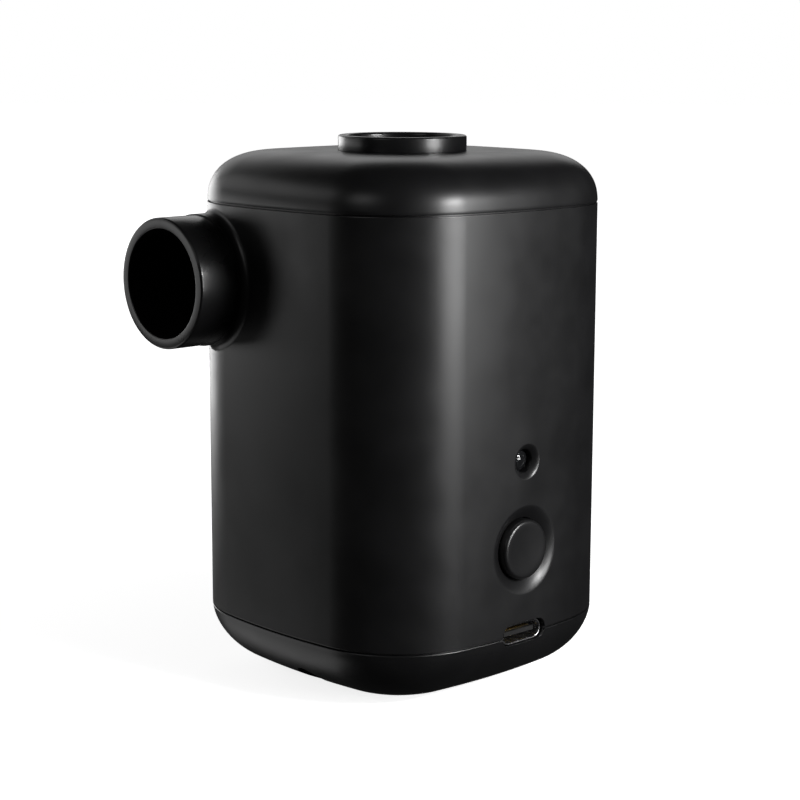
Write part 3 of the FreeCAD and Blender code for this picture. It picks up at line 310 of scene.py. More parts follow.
# ---------------------------------------------------------------- the body's plan
# The centres of a side's arc and a corner's arc, and half the angle that a side's arc covers.
SIDE_C = BODY_HALF - SIDE_R
CORNER_C = (SIDE_C + math.sqrt(2 * (SIDE_R - CORNER_R) ** 2 - SIDE_C ** 2)) / 2
SWING = math.atan2(CORNER_C, CORNER_C - SIDE_C)
FRONT = 3                 # the side that holds the controls
FRONT_LEAD = 2            # samples of that side before the fine ones


def plan():
    """Samples round the body, each a centre, a radius and an outward direction in plan."""
    samples = []
    steps = range(-DISH_CELLS, DISH_CELLS + 1)
    fine = [math.asin((CONTROLS_X + k * PATCH_STEP) / SIDE_R) for k in steps]
    span = math.pi / 2 - 2 * SWING
    corner_angles = [SWING + span * k / CORNER_STEPS for k in range(CORNER_STEPS)]
    for side in range(4):
        turn = Matrix.Rotation(math.pi / 2 * side, 2)
        if side == FRONT:
            angles = [-SWING, (fine[0] - SWING) / 2] + fine + [(fine[-1] + SWING) / 2]
        else:
            angles = [SWING * (2 * k / SIDE_STEPS - 1) for k in range(SIDE_STEPS)]
        arcs = ((Vector((SIDE_C, 0)), SIDE_R, angles),
                (Vector((CORNER_C, CORNER_C)), CORNER_R, corner_angles))
        for centre, radius, chosen in arcs:
            samples += [(turn @ centre, radius, turn @ Vector((math.cos(a), math.sin(a)))) for a in chosen]
    return samples


PLAN = plan()
FRONT_START = FRONT * (SIDE_STEPS + CORNER_STEPS) + FRONT_LEAD


def outline_ring(inset, z):
    """The body's plan at a height, moved inwards by an inset."""
    return [Vector((*(c + d * (r - inset)), z)) for c, r, d in PLAN]


def circle_ring(radius, z):
    """Circle whose points stand in the directions of the plan's samples, moved in by the dome's reach."""
    ring = []
    for c, r, d in PLAN:
        p = (c + d * (r - DOME_REACH)).normalized()
        ring.append(Vector((p.x * radius, p.y * radius, z)))
    return ring


def front_y(x, inset=0.0):
    """Depth of the front face at x."""
    return -(SIDE_C + math.sqrt((SIDE_R - inset) ** 2 - x * x))


# ---------------------------------------------------------------- body shell
def shell_rows():
    """Heights of the shell's rows: fine beside the controls and the nozzle."""
    rows = [SEAM_LOW + EDGE]
    dish_low = BUTTON_Z - DISH_CELLS * PATCH_STEP
    rows += [SEAM_LOW + (dish_low - SEAM_LOW) * k / 4 for k in (1, 2, 3)]
    rows += [BUTTON_Z + k * PATCH_STEP for k in range(-DISH_CELLS, DISH_CELLS + 1)]
    rows += [LAMP_Z + k * PATCH_STEP for k in range(-LAMP_CELLS, LAMP_CELLS + 1)]
    top = rows[-1]
    rows += [top + (SEAM_HIGH - EDGE - top) * k / FINE_ROWS for k in range(1, FINE_ROWS + 1)]
    return rows


def patch_rings(centre_x, centre_z, loop, profile):
    """Rings inside a square of the grid. The profile pairs each radius with a function from x to y."""
    angles = [math.atan2(p.z - centre_z, p.x - centre_x) for p in loop]
    rings = []
    for radius, place in profile:
        ring = []
        for a in angles:
            x = centre_x + radius * math.cos(a)
            ring.append(Vector((x, place(x), centre_z + radius * math.sin(a))))
        rings.append(ring)
    return rings


def recess(outer_r, hole_r, depth, ring_r, ring_back, steps=9):
    """Profile of a soft-edged dish that ends in a hole with a ring behind the wall."""
    profile = [(outer_r + RECESS_MARGIN, front_y)]
    for k in range(steps + 1):
        share = k / steps
        drop = depth * share ** 1.5

        def place(x, share=share, drop=drop):
            return front_y(x) * (1 - share) - BODY_HALF * share + drop
        profile.append((outer_r + (hole_r - outer_r) * share, place))
    flat = ((hole_r, -BODY_HALF + depth + EDGE), (hole_r, ring_back - RING_EDGE),
            (hole_r + RING_EDGE, ring_back), (ring_r - RING_EDGE, ring_back), (ring_r, ring_back - RING_EDGE))
    profile += [(radius, lambda x, y=y: y) for radius, y in flat]
    profile.append((ring_r, lambda x: front_y(x, WALL)))
    return profile


def square_loop(column, row, cells):
    """Grid indices round a square of 2 x cells steps, centred on a column and a row."""
    low_c, high_c, low_r, high_r = column - cells, column + cells, row - cells, row + cells
    loop = [(c, low_r) for c in range(low_c, high_c)]
    loop += [(high_c, r) for r in range(low_r, high_r)]
    loop += [(c, high_r) for c in range(high_c, low_c, -1)]
    loop += [(low_c, r) for r in range(high_r, low_r, -1)]
    return loop


def make_body_shell():
    """Wall with both rims, the dishes of the button and the lamp, the neck and its way in, and the slot."""
    rows = shell_rows()
    count = len(PLAN)
    outer = [outline_ring(0, z) for z in rows]
    inner = [outline_ring(WALL, z) for z in rows]
    low_rim = ((WALL, SEAM_LOW), (EDGE, SEAM_LOW), (RIM, SEAM_LOW + RIM))
    high_rim = ((RIM, SEAM_HIGH - RIM), (EDGE, SEAM_HIGH), (WALL, SEAM_HIGH))
    rings = [outline_ring(inset, z) for inset, z in low_rim] + outer
    rings += [outline_ring(inset, z) for inset, z in high_rim] + inner[::-1]
    verts, faces = bands(rings, True)
    first_outer = len(low_rim)
    first_inner = first_outer + len(outer) + len(high_rim)

    def outer_index(column, row):
        """Number of a grid vertex on the outside."""
        return (first_outer + row) * count + column

    def inner_index(column, row):
        """Number of the vertex behind it on the inside."""
        return (first_inner + len(rows) - 1 - row) * count + column

    middle = FRONT_START + DISH_CELLS
    patches = [(rows.index(BUTTON_Z), DISH_CELLS, BUTTON_Z,
                recess(DISH_R, BUTTON_HOLE_R, DISH_DEPTH, BUTTON_RING_R, BUTTON_RING_BACK)),
               (rows.index(LAMP_Z), LAMP_CELLS, LAMP_Z,
                recess(LAMP_DIMPLE_R, LAMP_HOLE_R, LAMP_DIMPLE_DEPTH, LAMP_SLEEVE_R, LAMP_SLEEVE_BACK))]
    drop = set()
    for row, cells, _, _ in patches:
        for c in range(middle - cells, middle + cells):
            for r in range(row - cells, row + cells):
                drop.add((first_outer + r) * count + c)
                drop.add((first_inner + len(rows) - 2 - r) * count + c)
    faces = [f for i, f in enumerate(faces) if i not in drop]
    for row, cells, centre_z, profile in patches:
        loop = square_loop(middle, row, cells)
        previous = [outer_index(c, r) for c, r in loop]
        corners = [verts[i] for i in previous]
        for ring in patch_rings(CONTROLS_X, centre_z, corners, profile):
            current = list(range(len(verts), len(verts) + len(ring)))
            verts = verts + ring
            faces += quads_between(previous, current)
            previous = current
        faces += quads_between(previous, [inner_index(c, r) for c, r in loop])
    shell = mesh("body_shell_skin", verts, faces)
    carve(shell, neck_tool(), "UNION")
    carve(shell, bore_tool(), "DIFFERENCE")
    carve(shell, usb_tool(), "DIFFERENCE")
    true_normals(shell)
    stand_for(shell, "housing", "body_shell")


def quads_between(ring, other):
    """Quads between two rings of vertex numbers."""
    count = len(ring)
    return [(ring[i], ring[(i + 1) % count], other[(i + 1) % count], other[i]) for i in range(count)]


def offset_plan(y, offset):
    """Point at y on the nozzle side of the plan moved out by offset, with the outward direction."""
    quarter_turn = math.pi / 2
    arcs = ((SIDE_C, 0.0, SIDE_R, -SWING, SWING),
            (CORNER_C, CORNER_C, CORNER_R, SWING, quarter_turn - SWING),
            (0.0, SIDE_C, SIDE_R, quarter_turn - SWING, quarter_turn + SWING))
    slack = 1e-6
    for centre_x, centre_y, radius, low, high in arcs:
        turn = math.asin(min((y - centre_y) / (radius + offset), 1.0))
        if low - slack <= turn <= high + slack:
            x = centre_x + (radius + offset) * math.cos(turn)
            return -x, Vector((-math.cos(turn), math.sin(turn), 0))
    raise ValueError(y)


def neck_tool(segments=160, steps=12):
    """The nozzle's neck, blended into the body by a rolling ball; it ends inside the wall."""
    rings = [[] for _ in range(steps + 4)]
    for i in range(segments):
        a = 2 * math.pi * i / segments
        radial = Vector((0, -math.sin(a), math.cos(a)))
        axis = Vector((0, NOZZLE_Y, NOZZLE_Z))
        ball = axis + radial * (NECK_R + NECK_BLEND)
        ball.x, outward = offset_plan(ball.y, NECK_BLEND)
        sweep = radial.angle(outward)
        front = Vector((NECK_FRONT_X, 0, 0))
        rings[0].append(axis + front)
        rings[1].append(axis + radial * NECK_R + front)
        for k in range(steps + 1):
            part = sweep * k / steps
            way = (radial * math.sin(sweep - part) + outward * math.sin(part)) / math.sin(sweep)
            rings[2 + k].append(ball - way * (NECK_BLEND + NECK_SINK * k / steps))
        rings[-1].append(rings[-2][-1] - outward * WALL / 2)
    verts, faces = bands(rings, False)
    start = len(verts) - segments
    verts.append(Vector((NECK_FRONT_X + NECK_TIP, NOZZLE_Y, NOZZLE_Z)))
    faces += [(start + i, start + (i + 1) % segments, len(verts) - 1) for i in range(segments)]
    return mesh("neck", verts, faces)


def bore_tool():
    """Stepped way for the nozzle's stem and the volute's spigot."""
    start = NECK_FRONT_X - PAST
    outline = [(start, 0), (start, STEM_R + GAP), (STEM_WAY_END_X, STEM_R + GAP),
               (STEM_WAY_END_X, SPIGOT_R + SPIGOT_GAP), (SPIGOT_WAY_END_X, SPIGOT_R + SPIGOT_GAP),
               (SPIGOT_WAY_END_X, 0)]
    return lathe("bore", outline, (0, NOZZLE_Y, NOZZLE_Z), (1, 0, 0), segments=160)


def slot_outline(width, height, y, steps=16):
    """Round-ended slot of the charging port in a plane across Y."""
    r = height / 2
    half = width / 2 - r
    ring = []
    for side, start in ((1, math.pi / 2), (-1, -math.pi / 2)):
        for k in range(steps + 1):
            a = start - math.pi * k / steps
            ring.append(Vector((CONTROLS_X + side * half + r * math.cos(a), y, USB_Z + r * math.sin(a))))
    return ring


def usb_tool():
    """Slot for the charging port with a small chamfer at the face."""
    face = -BODY_HALF
    rings = []
    for grow, y in ((USB_FLARE, face - USB_FLARE_OUT), (0.0, face + USB_CHAMFER_DEPTH),
                    (0.0, face + USB_CUT_DEPTH)):
        rings.append(slot_outline(USB_CUT_W + 2 * grow, USB_CUT_H + 2 * grow, y))
    verts, faces = bands(rings, False)
    count = len(rings[0])
    faces += [tuple(range(count)), tuple(range(2 * count, 3 * count))]
    return mesh("slot", verts, faces)


def true_normals(obj):
    """Sets the plan's own normals on the upright outer faces, so that cuts leave no shading marks."""
    data = obj.data
    normals = [Vector(n.vector) for n in data.corner_normals]

    def outward(x, y):
        """Distance of a point from the plan, and the plan's outward direction there."""
        ax, ay = abs(x), abs(y)
        swap = ax < ay
        if swap:
            ax, ay = ay, ax
        on_side = math.atan2(ay, ax - SIDE_C) < SWING
        centre = Vector((SIDE_C, 0)) if on_side else Vector((CORNER_C, CORNER_C))
        radius = SIDE_R if on_side else CORNER_R
        offset = Vector((ax, ay)) - centre
        direction = offset.normalized()
        if swap:
            direction = direction.yx
        signed = Vector((math.copysign(direction.x, x), math.copysign(direction.y, y), 0))
        return offset.length - radius, signed

    for face in data.polygons:
        if abs(face.normal.z) > ON_PLAN:
            continue
        found = []
        for corner in face.loop_indices:
            p = data.vertices[data.loops[corner].vertex_index].co / MM
            off, direction = outward(p.x, p.y)
            found.append((corner, off, direction))
        if all(abs(off) < ON_PLAN for _, off, _ in found) and face.normal.dot(found[0][2]) > SAME_WAY:
            for corner, _, direction in found:
                normals[corner] = direction
    data.normals_split_custom_set(normals)


# ---------------------------------------------------------------- covers
def crown(reach, height, power, inset, seam, up, steps=22):
    """Insets and heights along a superellipse quarter from the seam to the flat."""
    points = []
    for k in range(1, steps + 1):
        t = math.pi / 2 * k / steps
        across = 1 - max(math.cos(t), 0.0) ** (2 / power) if k < steps else 1.0
        points.append((inset + reach * across, seam + up * height * math.sin(t) ** (2 / power)))
    return points


def cover_rings(seam, up, reach, height, power):
    """Lip, shadow gap, rounded rim and curved outside of a cover, as insets and heights."""
    lip_end = seam - up * (TOP_LIP_DEPTH if up > 0 else BASE_LIP_DEPTH)
    edge = seam + up * REVEAL
    outline = [(LIP[1], lip_end), (LIP[0], lip_end), (LIP[0], seam),
               (REVEAL_DEPTH, seam), (REVEAL_DEPTH, edge),
               (EDGE, edge), (RIM, edge + up * RIM), (0, edge + up * EDGE)]
    return outline + [p for p in crown(reach, height, power, 0, seam, up) if up * (p[1] - edge) > EDGE * 1.5]


def inside_rings(seam, up, reach, height, power):
    """Curved inside of a cover down to its lip, as insets and heights."""
    points = crown(reach - INNER_REACH_CUT, height - WALL, power, WALL, seam, up)
    root = seam + up * LIP_ROOT
    return [p for p in reversed(points) if up * (p[1] - root) > 0.05 and p[0] > 0] + [(LIP[1], root)]


def make_top_cover():
    """Dome with the hole for the inlet collar."""
    height = DOME_TOP - SEAM_HIGH
    rings = [outline_ring(i, z) for i, z in cover_rings(SEAM_HIGH, 1, DOME_REACH, height, DOME_POWER)]
    hole = STEM_R + GAP
    rings += [circle_ring(radius, DOME_TOP) for radius in (*DOME_FLAT_RINGS, hole)]
    rings += [circle_ring(radius, DOME_TOP - WALL) for radius in (hole, DOME_CEILING_R)]
    rings += [outline_ring(i, z) for i, z in inside_rings(SEAM_HIGH, 1, DOME_REACH, height, DOME_POWER)]
    verts, faces = bands(rings, True)
    mesh("top_cover_skin", verts, faces, "housing", "top_cover")


def make_bottom_cover():
    """Base with the foot pad's recess, the screw columns with their counterbores, and the slot."""
    height = SEAM_LOW - FLOOR_Z
    pad_r = PAD_HIGH.x + PAD_GAP
    recess_z = PAD_HIGH.z
    inside_z = FLOOR_Z + WALL
    rings = [outline_ring(i, z) for i, z in cover_rings(SEAM_LOW, -1, BASE_REACH, height, BASE_POWER)]
    for radius, z in ((BASE_FLAT_R, FLOOR_Z), (pad_r + RING_EDGE, FLOOR_Z), (pad_r, FLOOR_Z + RING_EDGE),
                      (pad_r, recess_z), (BASE_RING_R, recess_z), (BASE_MIDDLE_R, recess_z),
                      (BASE_MIDDLE_R, inside_z), (BASE_RING_R, inside_z)):
        rings.append(circle_ring(radius, z))
    rings += [outline_ring(i, z) for i, z in inside_rings(SEAM_LOW, -1, BASE_REACH, height, BASE_POWER)]
    verts, faces = bands(rings, True)
    cover = mesh("bottom_cover_skin", verts, faces)
    plug = [(recess_z, 0), (recess_z, BASE_PLUG_R), (inside_z, BASE_PLUG_R), (inside_z, 0)]
    carve(cover, lathe("plug", plug, (0, 0, 0), (0, 0, 1), segments=32), "UNION")
    for x, y in CASE_SCREWS:
        outline = [(FLOOR_Z, 0), (FLOOR_Z, CASE_BOSS_R), (SEAM_LOW, CASE_BOSS_R), (SEAM_LOW, 0)]
        column = lathe("column", outline, (x, y, 0), (0, 0, 1), segments=48)
        carve(column, core_tool(), "INTERSECT")
        carve(cover, column, "UNION")
        way = [(-PAST, 0), (-PAST, CASE_COUNTERBORE_R), (CASE_HEAD_SEAT, CASE_COUNTERBORE_R),
               (CASE_HEAD_SEAT, CASE_CLEARANCE_R), (SEAM_LOW + PAST, CASE_CLEARANCE_R), (SEAM_LOW + PAST, 0)]
        carve(cover, lathe("way", way, (x, y, 0), (0, 0, 1), segments=48), "DIFFERENCE")
    carve(cover, usb_tool(), "DIFFERENCE")
    stand_for(cover, "housing", "bottom_cover")


def core_tool():
    """Solid whose surface runs inside the bottom cover's wall, to trim the screw columns."""
    depth = WALL / 3
    curve = crown(BASE_REACH, SEAM_LOW - FLOOR_Z - depth, BASE_POWER, depth, SEAM_LOW, -1)
    rings = [outline_ring(i, z) for i, z in [(depth, SEAM_LOW + PAST), (depth, SEAM_LOW)] + curve]
    verts, faces = bands(rings, False)
    count = len(PLAN)
    faces += [tuple(range(count)), tuple(range(len(verts) - count, len(verts)))]
    return mesh("core", verts, faces)


# ---------------------------------------------------------------- turned pieces
def make_nozzle():
    """Tube with a shoulder against the neck, a stem in the wall and a socket for the volute's spigot."""
    outline = soften([(NOZZLE_END_X, NOZZLE_BORE_R, 0.22), (NOZZLE_END_X, PORT_R, 0.4),
                      (NECK_FRONT_X, PORT_R, 0.05), (NECK_FRONT_X, STEM_R, 0), (NOZZLE_TAIL_X, STEM_R, 0.05),
                      (NOZZLE_TAIL_X, SPIGOT_R + 0.1, 0.05), (NOZZLE_SOCKET_X, SPIGOT_R + 0.1, 0),
                      (NOZZLE_SOCKET_X, NOZZLE_BORE_R, 0.05)], 5)
    lathe("outlet_nozzle_tube", outline, (0, NOZZLE_Y, NOZZLE_Z), (1, 0, 0), "housing", "outlet_nozzle", 192)


def make_collar():
    """Ring with a shoulder on the dome, a flange under it and a seat for the guard."""
    flange = DOME_TOP - WALL - GAP
    under = flange - COLLAR_FLANGE
    outline = soften([(COLLAR_TOP, COLLAR_BORE_R, 0.45), (COLLAR_TOP, PORT_R, 0.35), (DOME_TOP, PORT_R, 0.08),
                      (DOME_TOP, STEM_R, 0), (flange, STEM_R, 0), (flange, COLLAR_FLANGE_R, 0.1),
                      (under, COLLAR_FLANGE_R, 0.1), (under, STEM_R, 0), (COLLAR_LOW, STEM_R, 0.1),
                      (COLLAR_LOW, GUARD_SEAT_R, 0.1), (GUARD_TOP, GUARD_SEAT_R, 0),
                      (GUARD_TOP, COLLAR_BORE_R, 0.05)], 5)
    lathe("inlet_collar_ring", outline, (0, 0, 0), (0, 0, 1), "housing", "inlet_collar", 192)


def make_button(steps=8):
    """Cap with a shallow hollow in its face and a flange that keeps it in."""
    face = BUTTON_LOW.y
    back = BUTTON_HIGH.y
    hollow = []
    for k in range(steps + 1):
        share = k / steps
        hollow.append((face + BUTTON_HOLLOW * (1 - share ** 2), BUTTON_HOLLOW_R * share, 0))
    outline = soften(hollow + [(face, BUTTON_R, BUTTON_EDGE), (BUTTON_FLANGE_FRONT, BUTTON_R, 0),
                               (BUTTON_FLANGE_FRONT, BUTTON_FLANGE_R, 0.12), (back, BUTTON_FLANGE_R, 0.12),
                               (back, 0, 0)], 8)
    lathe("power_button_cap", outline, (CONTROLS_X, 0, BUTTON_Z), (0, 1, 0), "power_button", "power_button")


def make_light_pipe(steps=12):
    """Rod with a flange and a domed nose."""
    nose = LAMP_LOW.y
    tail = LAMP_HIGH.y
    flange_r = (LAMP_HIGH.z - LAMP_LOW.z) / 2
    flange_back = LAMP_SLEEVE_BACK + LENS_FLANGE
    rise = LENS_RIM_Y - nose
    dome_r = (LENS_R ** 2 + rise ** 2) / (2 * rise)
    outline = []
    for k in range(steps + 1):
        r = LENS_R * math.sin(math.pi / 2 * k / steps)
        outline.append((nose + dome_r - math.sqrt(dome_r ** 2 - r ** 2), r))
    outline += [(LAMP_SLEEVE_BACK, LENS_R), (LAMP_SLEEVE_BACK, flange_r), (flange_back, flange_r),
                (flange_back, LENS_R), (tail, LENS_R), (tail, 0)]
    lathe("light_pipe_lens", outline, (CONTROLS_X, 0, LAMP_Z), (0, 1, 0), "housing", "light_pipe", 64)


def make_foot_pad():
    """Disc with shallow grip grooves in its underside."""
    low, high, radius = PAD_LOW.z, PAD_HIGH.z, PAD_HIGH.x
    corners = [(low, 0, 0)]
    for groove in PAD_GROOVES:
        for half, depth in ((-GROOVE_HALF, 0), (-GROOVE_FLOOR_HALF, GROOVE_DEPTH),
                            (GROOVE_FLOOR_HALF, GROOVE_DEPTH), (GROOVE_HALF, 0)):
            corners.append((low + depth, groove + half, 0.05))
    corners += [(low, radius, 0.3), (high, radius, 0.05), (high, 0, 0)]
    lathe("foot_pad_disc", soften(corners, 3), (0, 0, 0), (0, 0, 1), "housing", "foot_pad")


def make_usb_shell():
    """Folded steel shell with a rounded mouth."""
    width, height = USB_HIGH.x - USB_LOW.x, USB_HIGH.z - USB_LOW.z
    mouth, tail = USB_LOW.y, USB_HIGH.y
    outline = soften([(mouth, 0, EDGE), (tail, 0, 0),
                      (tail, USB_SHELL_WALL, 0), (mouth, USB_SHELL_WALL, EDGE)], 3)
    rings = [slot_outline(width - 2 * inset, height - 2 * inset, y) for y, inset in outline]
    verts, faces = bands(rings, True)
    mesh("usb_c_shell_folded", verts, faces, "housing", "usb_c_shell")


# ---------------------------------------------------------------- materials
class Maker:
    """Short way to wire a procedural material."""

    def __init__(self, name):
        self.material = bpy.data.materials.new(name)
        self.material.use_nodes = True
        self.tree = self.material.node_tree
        self.shader = self.tree.nodes["Principled BSDF"]
        self.coords = self.tree.nodes.new("ShaderNodeTexCoord").outputs["Object"]

    def node(self, kind, **values):
        """New node; each value goes to the input of that name, or else to the setting of that name."""
        made = self.tree.nodes.new("ShaderNode" + kind)
        for key, value in values.items():
            if key in made.inputs:
                made.inputs[key].default_value = value
            else:
                setattr(made, key.lower(), value)
        return made

    def link(self, source, target):
        self.tree.links.new(source, target)

    def set(self, **values):
        """Values for the shader's inputs, with _ for each space."""
        for key, value in values.items():
            self.shader.inputs[key.replace("_", " ")].default_value = value

    def noise(self, size_mm, detail=3.0, stretch=None):
        """Noise whose features are about size_mm across."""
        made = self.node("TexNoise", Scale=1 / (size_mm * MM), Detail=detail, Roughness=0.55)
        if stretch:
            scaled = self.node("Mapping")
            scaled.inputs["Scale"].default_value = stretch
            self.link(self.coords, scaled.inputs["Vector"])
            self.link(scaled.outputs["Vector"], made.inputs["Vector"])
        else:
            self.link(self.coords, made.inputs["Vector"])
        return made.outputs["Fac"]

    def ramp(self, source, low, high):
        """Colour between two colours."""
        made = self.node("ValToRGB")
        for element, place, value in zip(made.color_ramp.elements, (0.35, 0.65), (low, high)):
            element.position = place
            element.color = (*value, 1)
        self.link(source, made.inputs["Fac"])
        return made.outputs["Color"]

    def span(self, source, low, high):
        """Number between low and high."""
        made = self.node("MapRange")
        made.inputs["From Min"].default_value = 0.3
        made.inputs["From Max"].default_value = 0.7
        made.inputs["To Min"].default_value = low
        made.inputs["To Max"].default_value = high
        self.link(source, made.inputs["Value"])
        return made.outputs["Result"]

    def bump(self, source, height_mm, strength):
        """Relief of the surface."""
        made = self.node("Bump", Strength=strength, Distance=height_mm * MM)
        self.link(source, made.inputs["Height"])
        self.link(made.outputs["Normal"], self.shader.inputs["Normal"])


def shade(base, spread):
    """Two neighbours of a colour, darker and lighter."""
    return [c * (1 - spread) for c in base], [min(c * (1 + spread), 1.0) for c in base]


def moulded(name, base, roughness, grain_mm=0.16, relief_mm=0.004):
    """Moulded plastic with a fine grain, slight colour drift and slightly uneven gloss."""
    m = Maker(name)
    grain = m.noise(grain_mm, 2.0)
    cloud = m.noise(9.0, 2.0)
    m.link(m.ramp(cloud, *shade(base, 0.12)), m.shader.inputs["Base Color"])
    m.link(m.span(cloud, roughness - 0.03, roughness + 0.03), m.shader.inputs["Roughness"])
    m.bump(grain, relief_mm, 0.6)
    return m.material


def metal(name, base, roughness, brush_mm=0.12, stretch=(1, 1, 0.06), spread=0.1):
    """Metal with brush marks along the axis of the smallest stretch."""
    m = Maker(name)
    brushed = m.noise(brush_mm, 2.0, stretch)
    m.link(m.ramp(m.noise(3.0), *shade(base, spread)), m.shader.inputs["Base Color"])
    m.link(m.span(brushed, roughness - 0.06, roughness + 0.08), m.shader.inputs["Roughness"])
    m.bump(brushed, 0.003, 0.5)
    m.set(Metallic=1.0)
    return m.material


def soft(name, base, roughness, grain_mm, relief_mm):
    """Rubber or foam."""
    m = Maker(name)
    m.link(m.ramp(m.noise(2.0), *shade(base, 0.2)), m.shader.inputs["Base Color"])
    m.link(m.span(m.noise(0.6), roughness - 0.05, roughness + 0.05), m.shader.inputs["Roughness"])
    m.bump(m.noise(grain_mm, 4.0), relief_mm, 0.8)
    m.set(Specular_IOR_Level=0.35)
    return m.material


def laminate(name, base):
    """Solder mask over faint copper tracks."""
    m = Maker(name)
    tracks = m.node("TexBrick", Scale=1 / (14 * MM))
    tracks.inputs["Color1"].default_value = (*base, 1)
    tracks.inputs["Color2"].default_value = (*[c * 1.5 for c in base], 1)
    tracks.inputs["Mortar"].default_value = (*[c * 2.4 for c in base], 1)
    tracks.inputs["Mortar Size"].default_value = 0.015
    turned = m.node("Mapping")
    turned.inputs["Rotation"].default_value = (math.pi / 2, 0, 0)
    m.link(m.coords, turned.inputs["Vector"])
    m.link(turned.outputs["Vector"], tracks.inputs["Vector"])
    m.link(tracks.outputs["Color"], m.shader.inputs["Base Color"])
    m.link(m.span(m.noise(1.5), 0.22, 0.34), m.shader.inputs["Roughness"])
    m.bump(tracks.outputs["Fac"], 0.02, 0.4)
    return m.material


def clear(name, base):
    """Smoky clear plastic."""
    m = Maker(name)
    m.link(m.ramp(m.noise(1.5), *shade(base, 0.1)), m.shader.inputs["Base Color"])
    m.link(m.span(m.noise(0.5), 0.05, 0.1), m.shader.inputs["Roughness"])
    m.bump(m.noise(0.8), 0.002, 0.4)
    m.set(Transmission_Weight=0.85, IOR=1.49)
    return m.material


BODY_BLACK = (0.0060, 0.0060, 0.0064)
MATERIALS = {
    "body_plastic": lambda n: moulded(n, BODY_BLACK, 0.36),
    "button_plastic": lambda n: moulded(n, BODY_BLACK, 0.34),
    "port_plastic": lambda n: moulded(n, (0.0055, 0.0055, 0.0058), 0.29, 0.2, 0.002),
    "guard_plastic": lambda n: moulded(n, (0.010, 0.010, 0.010), 0.45),
    "inner_plastic": lambda n: moulded(n, (0.016, 0.016, 0.017), 0.5, 0.3, 0.008),
    "impeller_plastic": lambda n: moulded(n, (0.20, 0.205, 0.21), 0.42, 0.3, 0.006),
    "end_cap_plastic": lambda n: moulded(n, (0.015, 0.015, 0.015), 0.45),
    "holder_plastic": lambda n: moulded(n, (0.03, 0.03, 0.032), 0.5, 0.3, 0.01),
    "chip_plastic": lambda n: moulded(n, (0.012, 0.012, 0.013), 0.55, 0.1, 0.01),
    "connector_plastic": lambda n: moulded(n, (0.72, 0.70, 0.62), 0.4),
    "tongue_plastic": lambda n: moulded(n, (0.012, 0.012, 0.012), 0.4),
    "led_body": lambda n: moulded(n, (0.75, 0.74, 0.62), 0.35),
    "capacitor_ceramic": lambda n: moulded(n, (0.36, 0.24, 0.13), 0.45, 0.2, 0.01),
    "ferrite": lambda n: moulded(n, (0.045, 0.045, 0.047), 0.6, 0.25, 0.03),
    "cell_wrap": lambda n: moulded(n, (0.02, 0.12, 0.30), 0.28, 1.6, 0.03),
    "wire_red": lambda n: moulded(n, (0.42, 0.012, 0.012), 0.35, 0.4, 0.01),
    "wire_black": lambda n: moulded(n, (0.012, 0.012, 0.012), 0.35, 0.4, 0.01),
    "foot_rubber": lambda n: soft(n, (0.016, 0.016, 0.016), 0.72, 0.25, 0.03),
    "seal_rubber": lambda n: soft(n, (0.02, 0.02, 0.02), 0.65, 0.3, 0.02),
    "sleeve_foam": lambda n: soft(n, (0.03, 0.03, 0.03), 0.9, 0.5, 0.15),
    "board_laminate": lambda n: laminate(n, (0.008, 0.075, 0.025)),
    "lens_clear": lambda n: clear(n, (0.05, 0.052, 0.056)),
    "nickel_strip": lambda n: metal(n, (0.60, 0.58, 0.54), 0.3, 0.15, (0.05, 1, 1)),
    "can_steel": lambda n: metal(n, (0.56, 0.56, 0.56), 0.32),
    "shaft_steel": lambda n: metal(n, (0.62, 0.62, 0.63), 0.16, 0.08, (1, 1, 6)),
    "core_steel": lambda n: metal(n, (0.26, 0.26, 0.27), 0.42, 0.5, (0.03, 0.03, 1), 0.3),
    "port_steel": lambda n: metal(n, (0.60, 0.60, 0.61), 0.24, 0.1, (1, 0.05, 1)),
    "zinc_screw": lambda n: metal(n, (0.42, 0.42, 0.43), 0.34, 0.2, (1, 1, 1)),
    "bush_bronze": lambda n: metal(n, (0.52, 0.30, 0.13), 0.4, 0.3, (1, 1, 1), 0.25),
    "spring_brass": lambda n: metal(n, (0.74, 0.54, 0.24), 0.26),
    "winding_copper": lambda n: metal(n, (0.66, 0.26, 0.12), 0.28, 0.35, (0.05, 0.05, 1), 0.2),
    "contact_gold": lambda n: metal(n, (0.86, 0.62, 0.24), 0.2),
}


def paint():
    """Gives every piece the material of its slot."""
    made = {name: build(name) for name, build in MATERIALS.items()}
    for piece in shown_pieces():
        slot_name = piece.get("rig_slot") or SLOT_OF[piece["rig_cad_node"]]
        piece.data.materials.clear()
        piece.data.materials.append(made[slot_name])


# ---------------------------------------------------------------- camera, floor and lights
CAMERA_AZIMUTH = math.radians(-43.475)
CAMERA_DOWN = math.radians(10.23)
CAMERA_ROLL = math.radians(0.16)
CAMERA_REACH = 0.32599    # metres from the pump's axis, level; then sideways, and above the floor
CAMERA_SIDE = -0.000264
CAMERA_HEIGHT = 0.103209
CAMERA_LENS = 89.88
CAMERA_NEAR = 0.01

STAGE_R = 3.0             # metres
STAGE_DROP = 0.05         # millimetres under the foot pad, so that the two don't share a plane
# Floor glow by distance from the pump's axis in metres: weaker near the pump, a painted shade round it.
GLOW_WITH_PAINTED_SHADE = (("From Min", 0.03), ("From Max", 0.22), ("To Min", 0.82), ("To Max", 1.0))

LIGHTS_AIM = Vector((0, 0, 0.045))
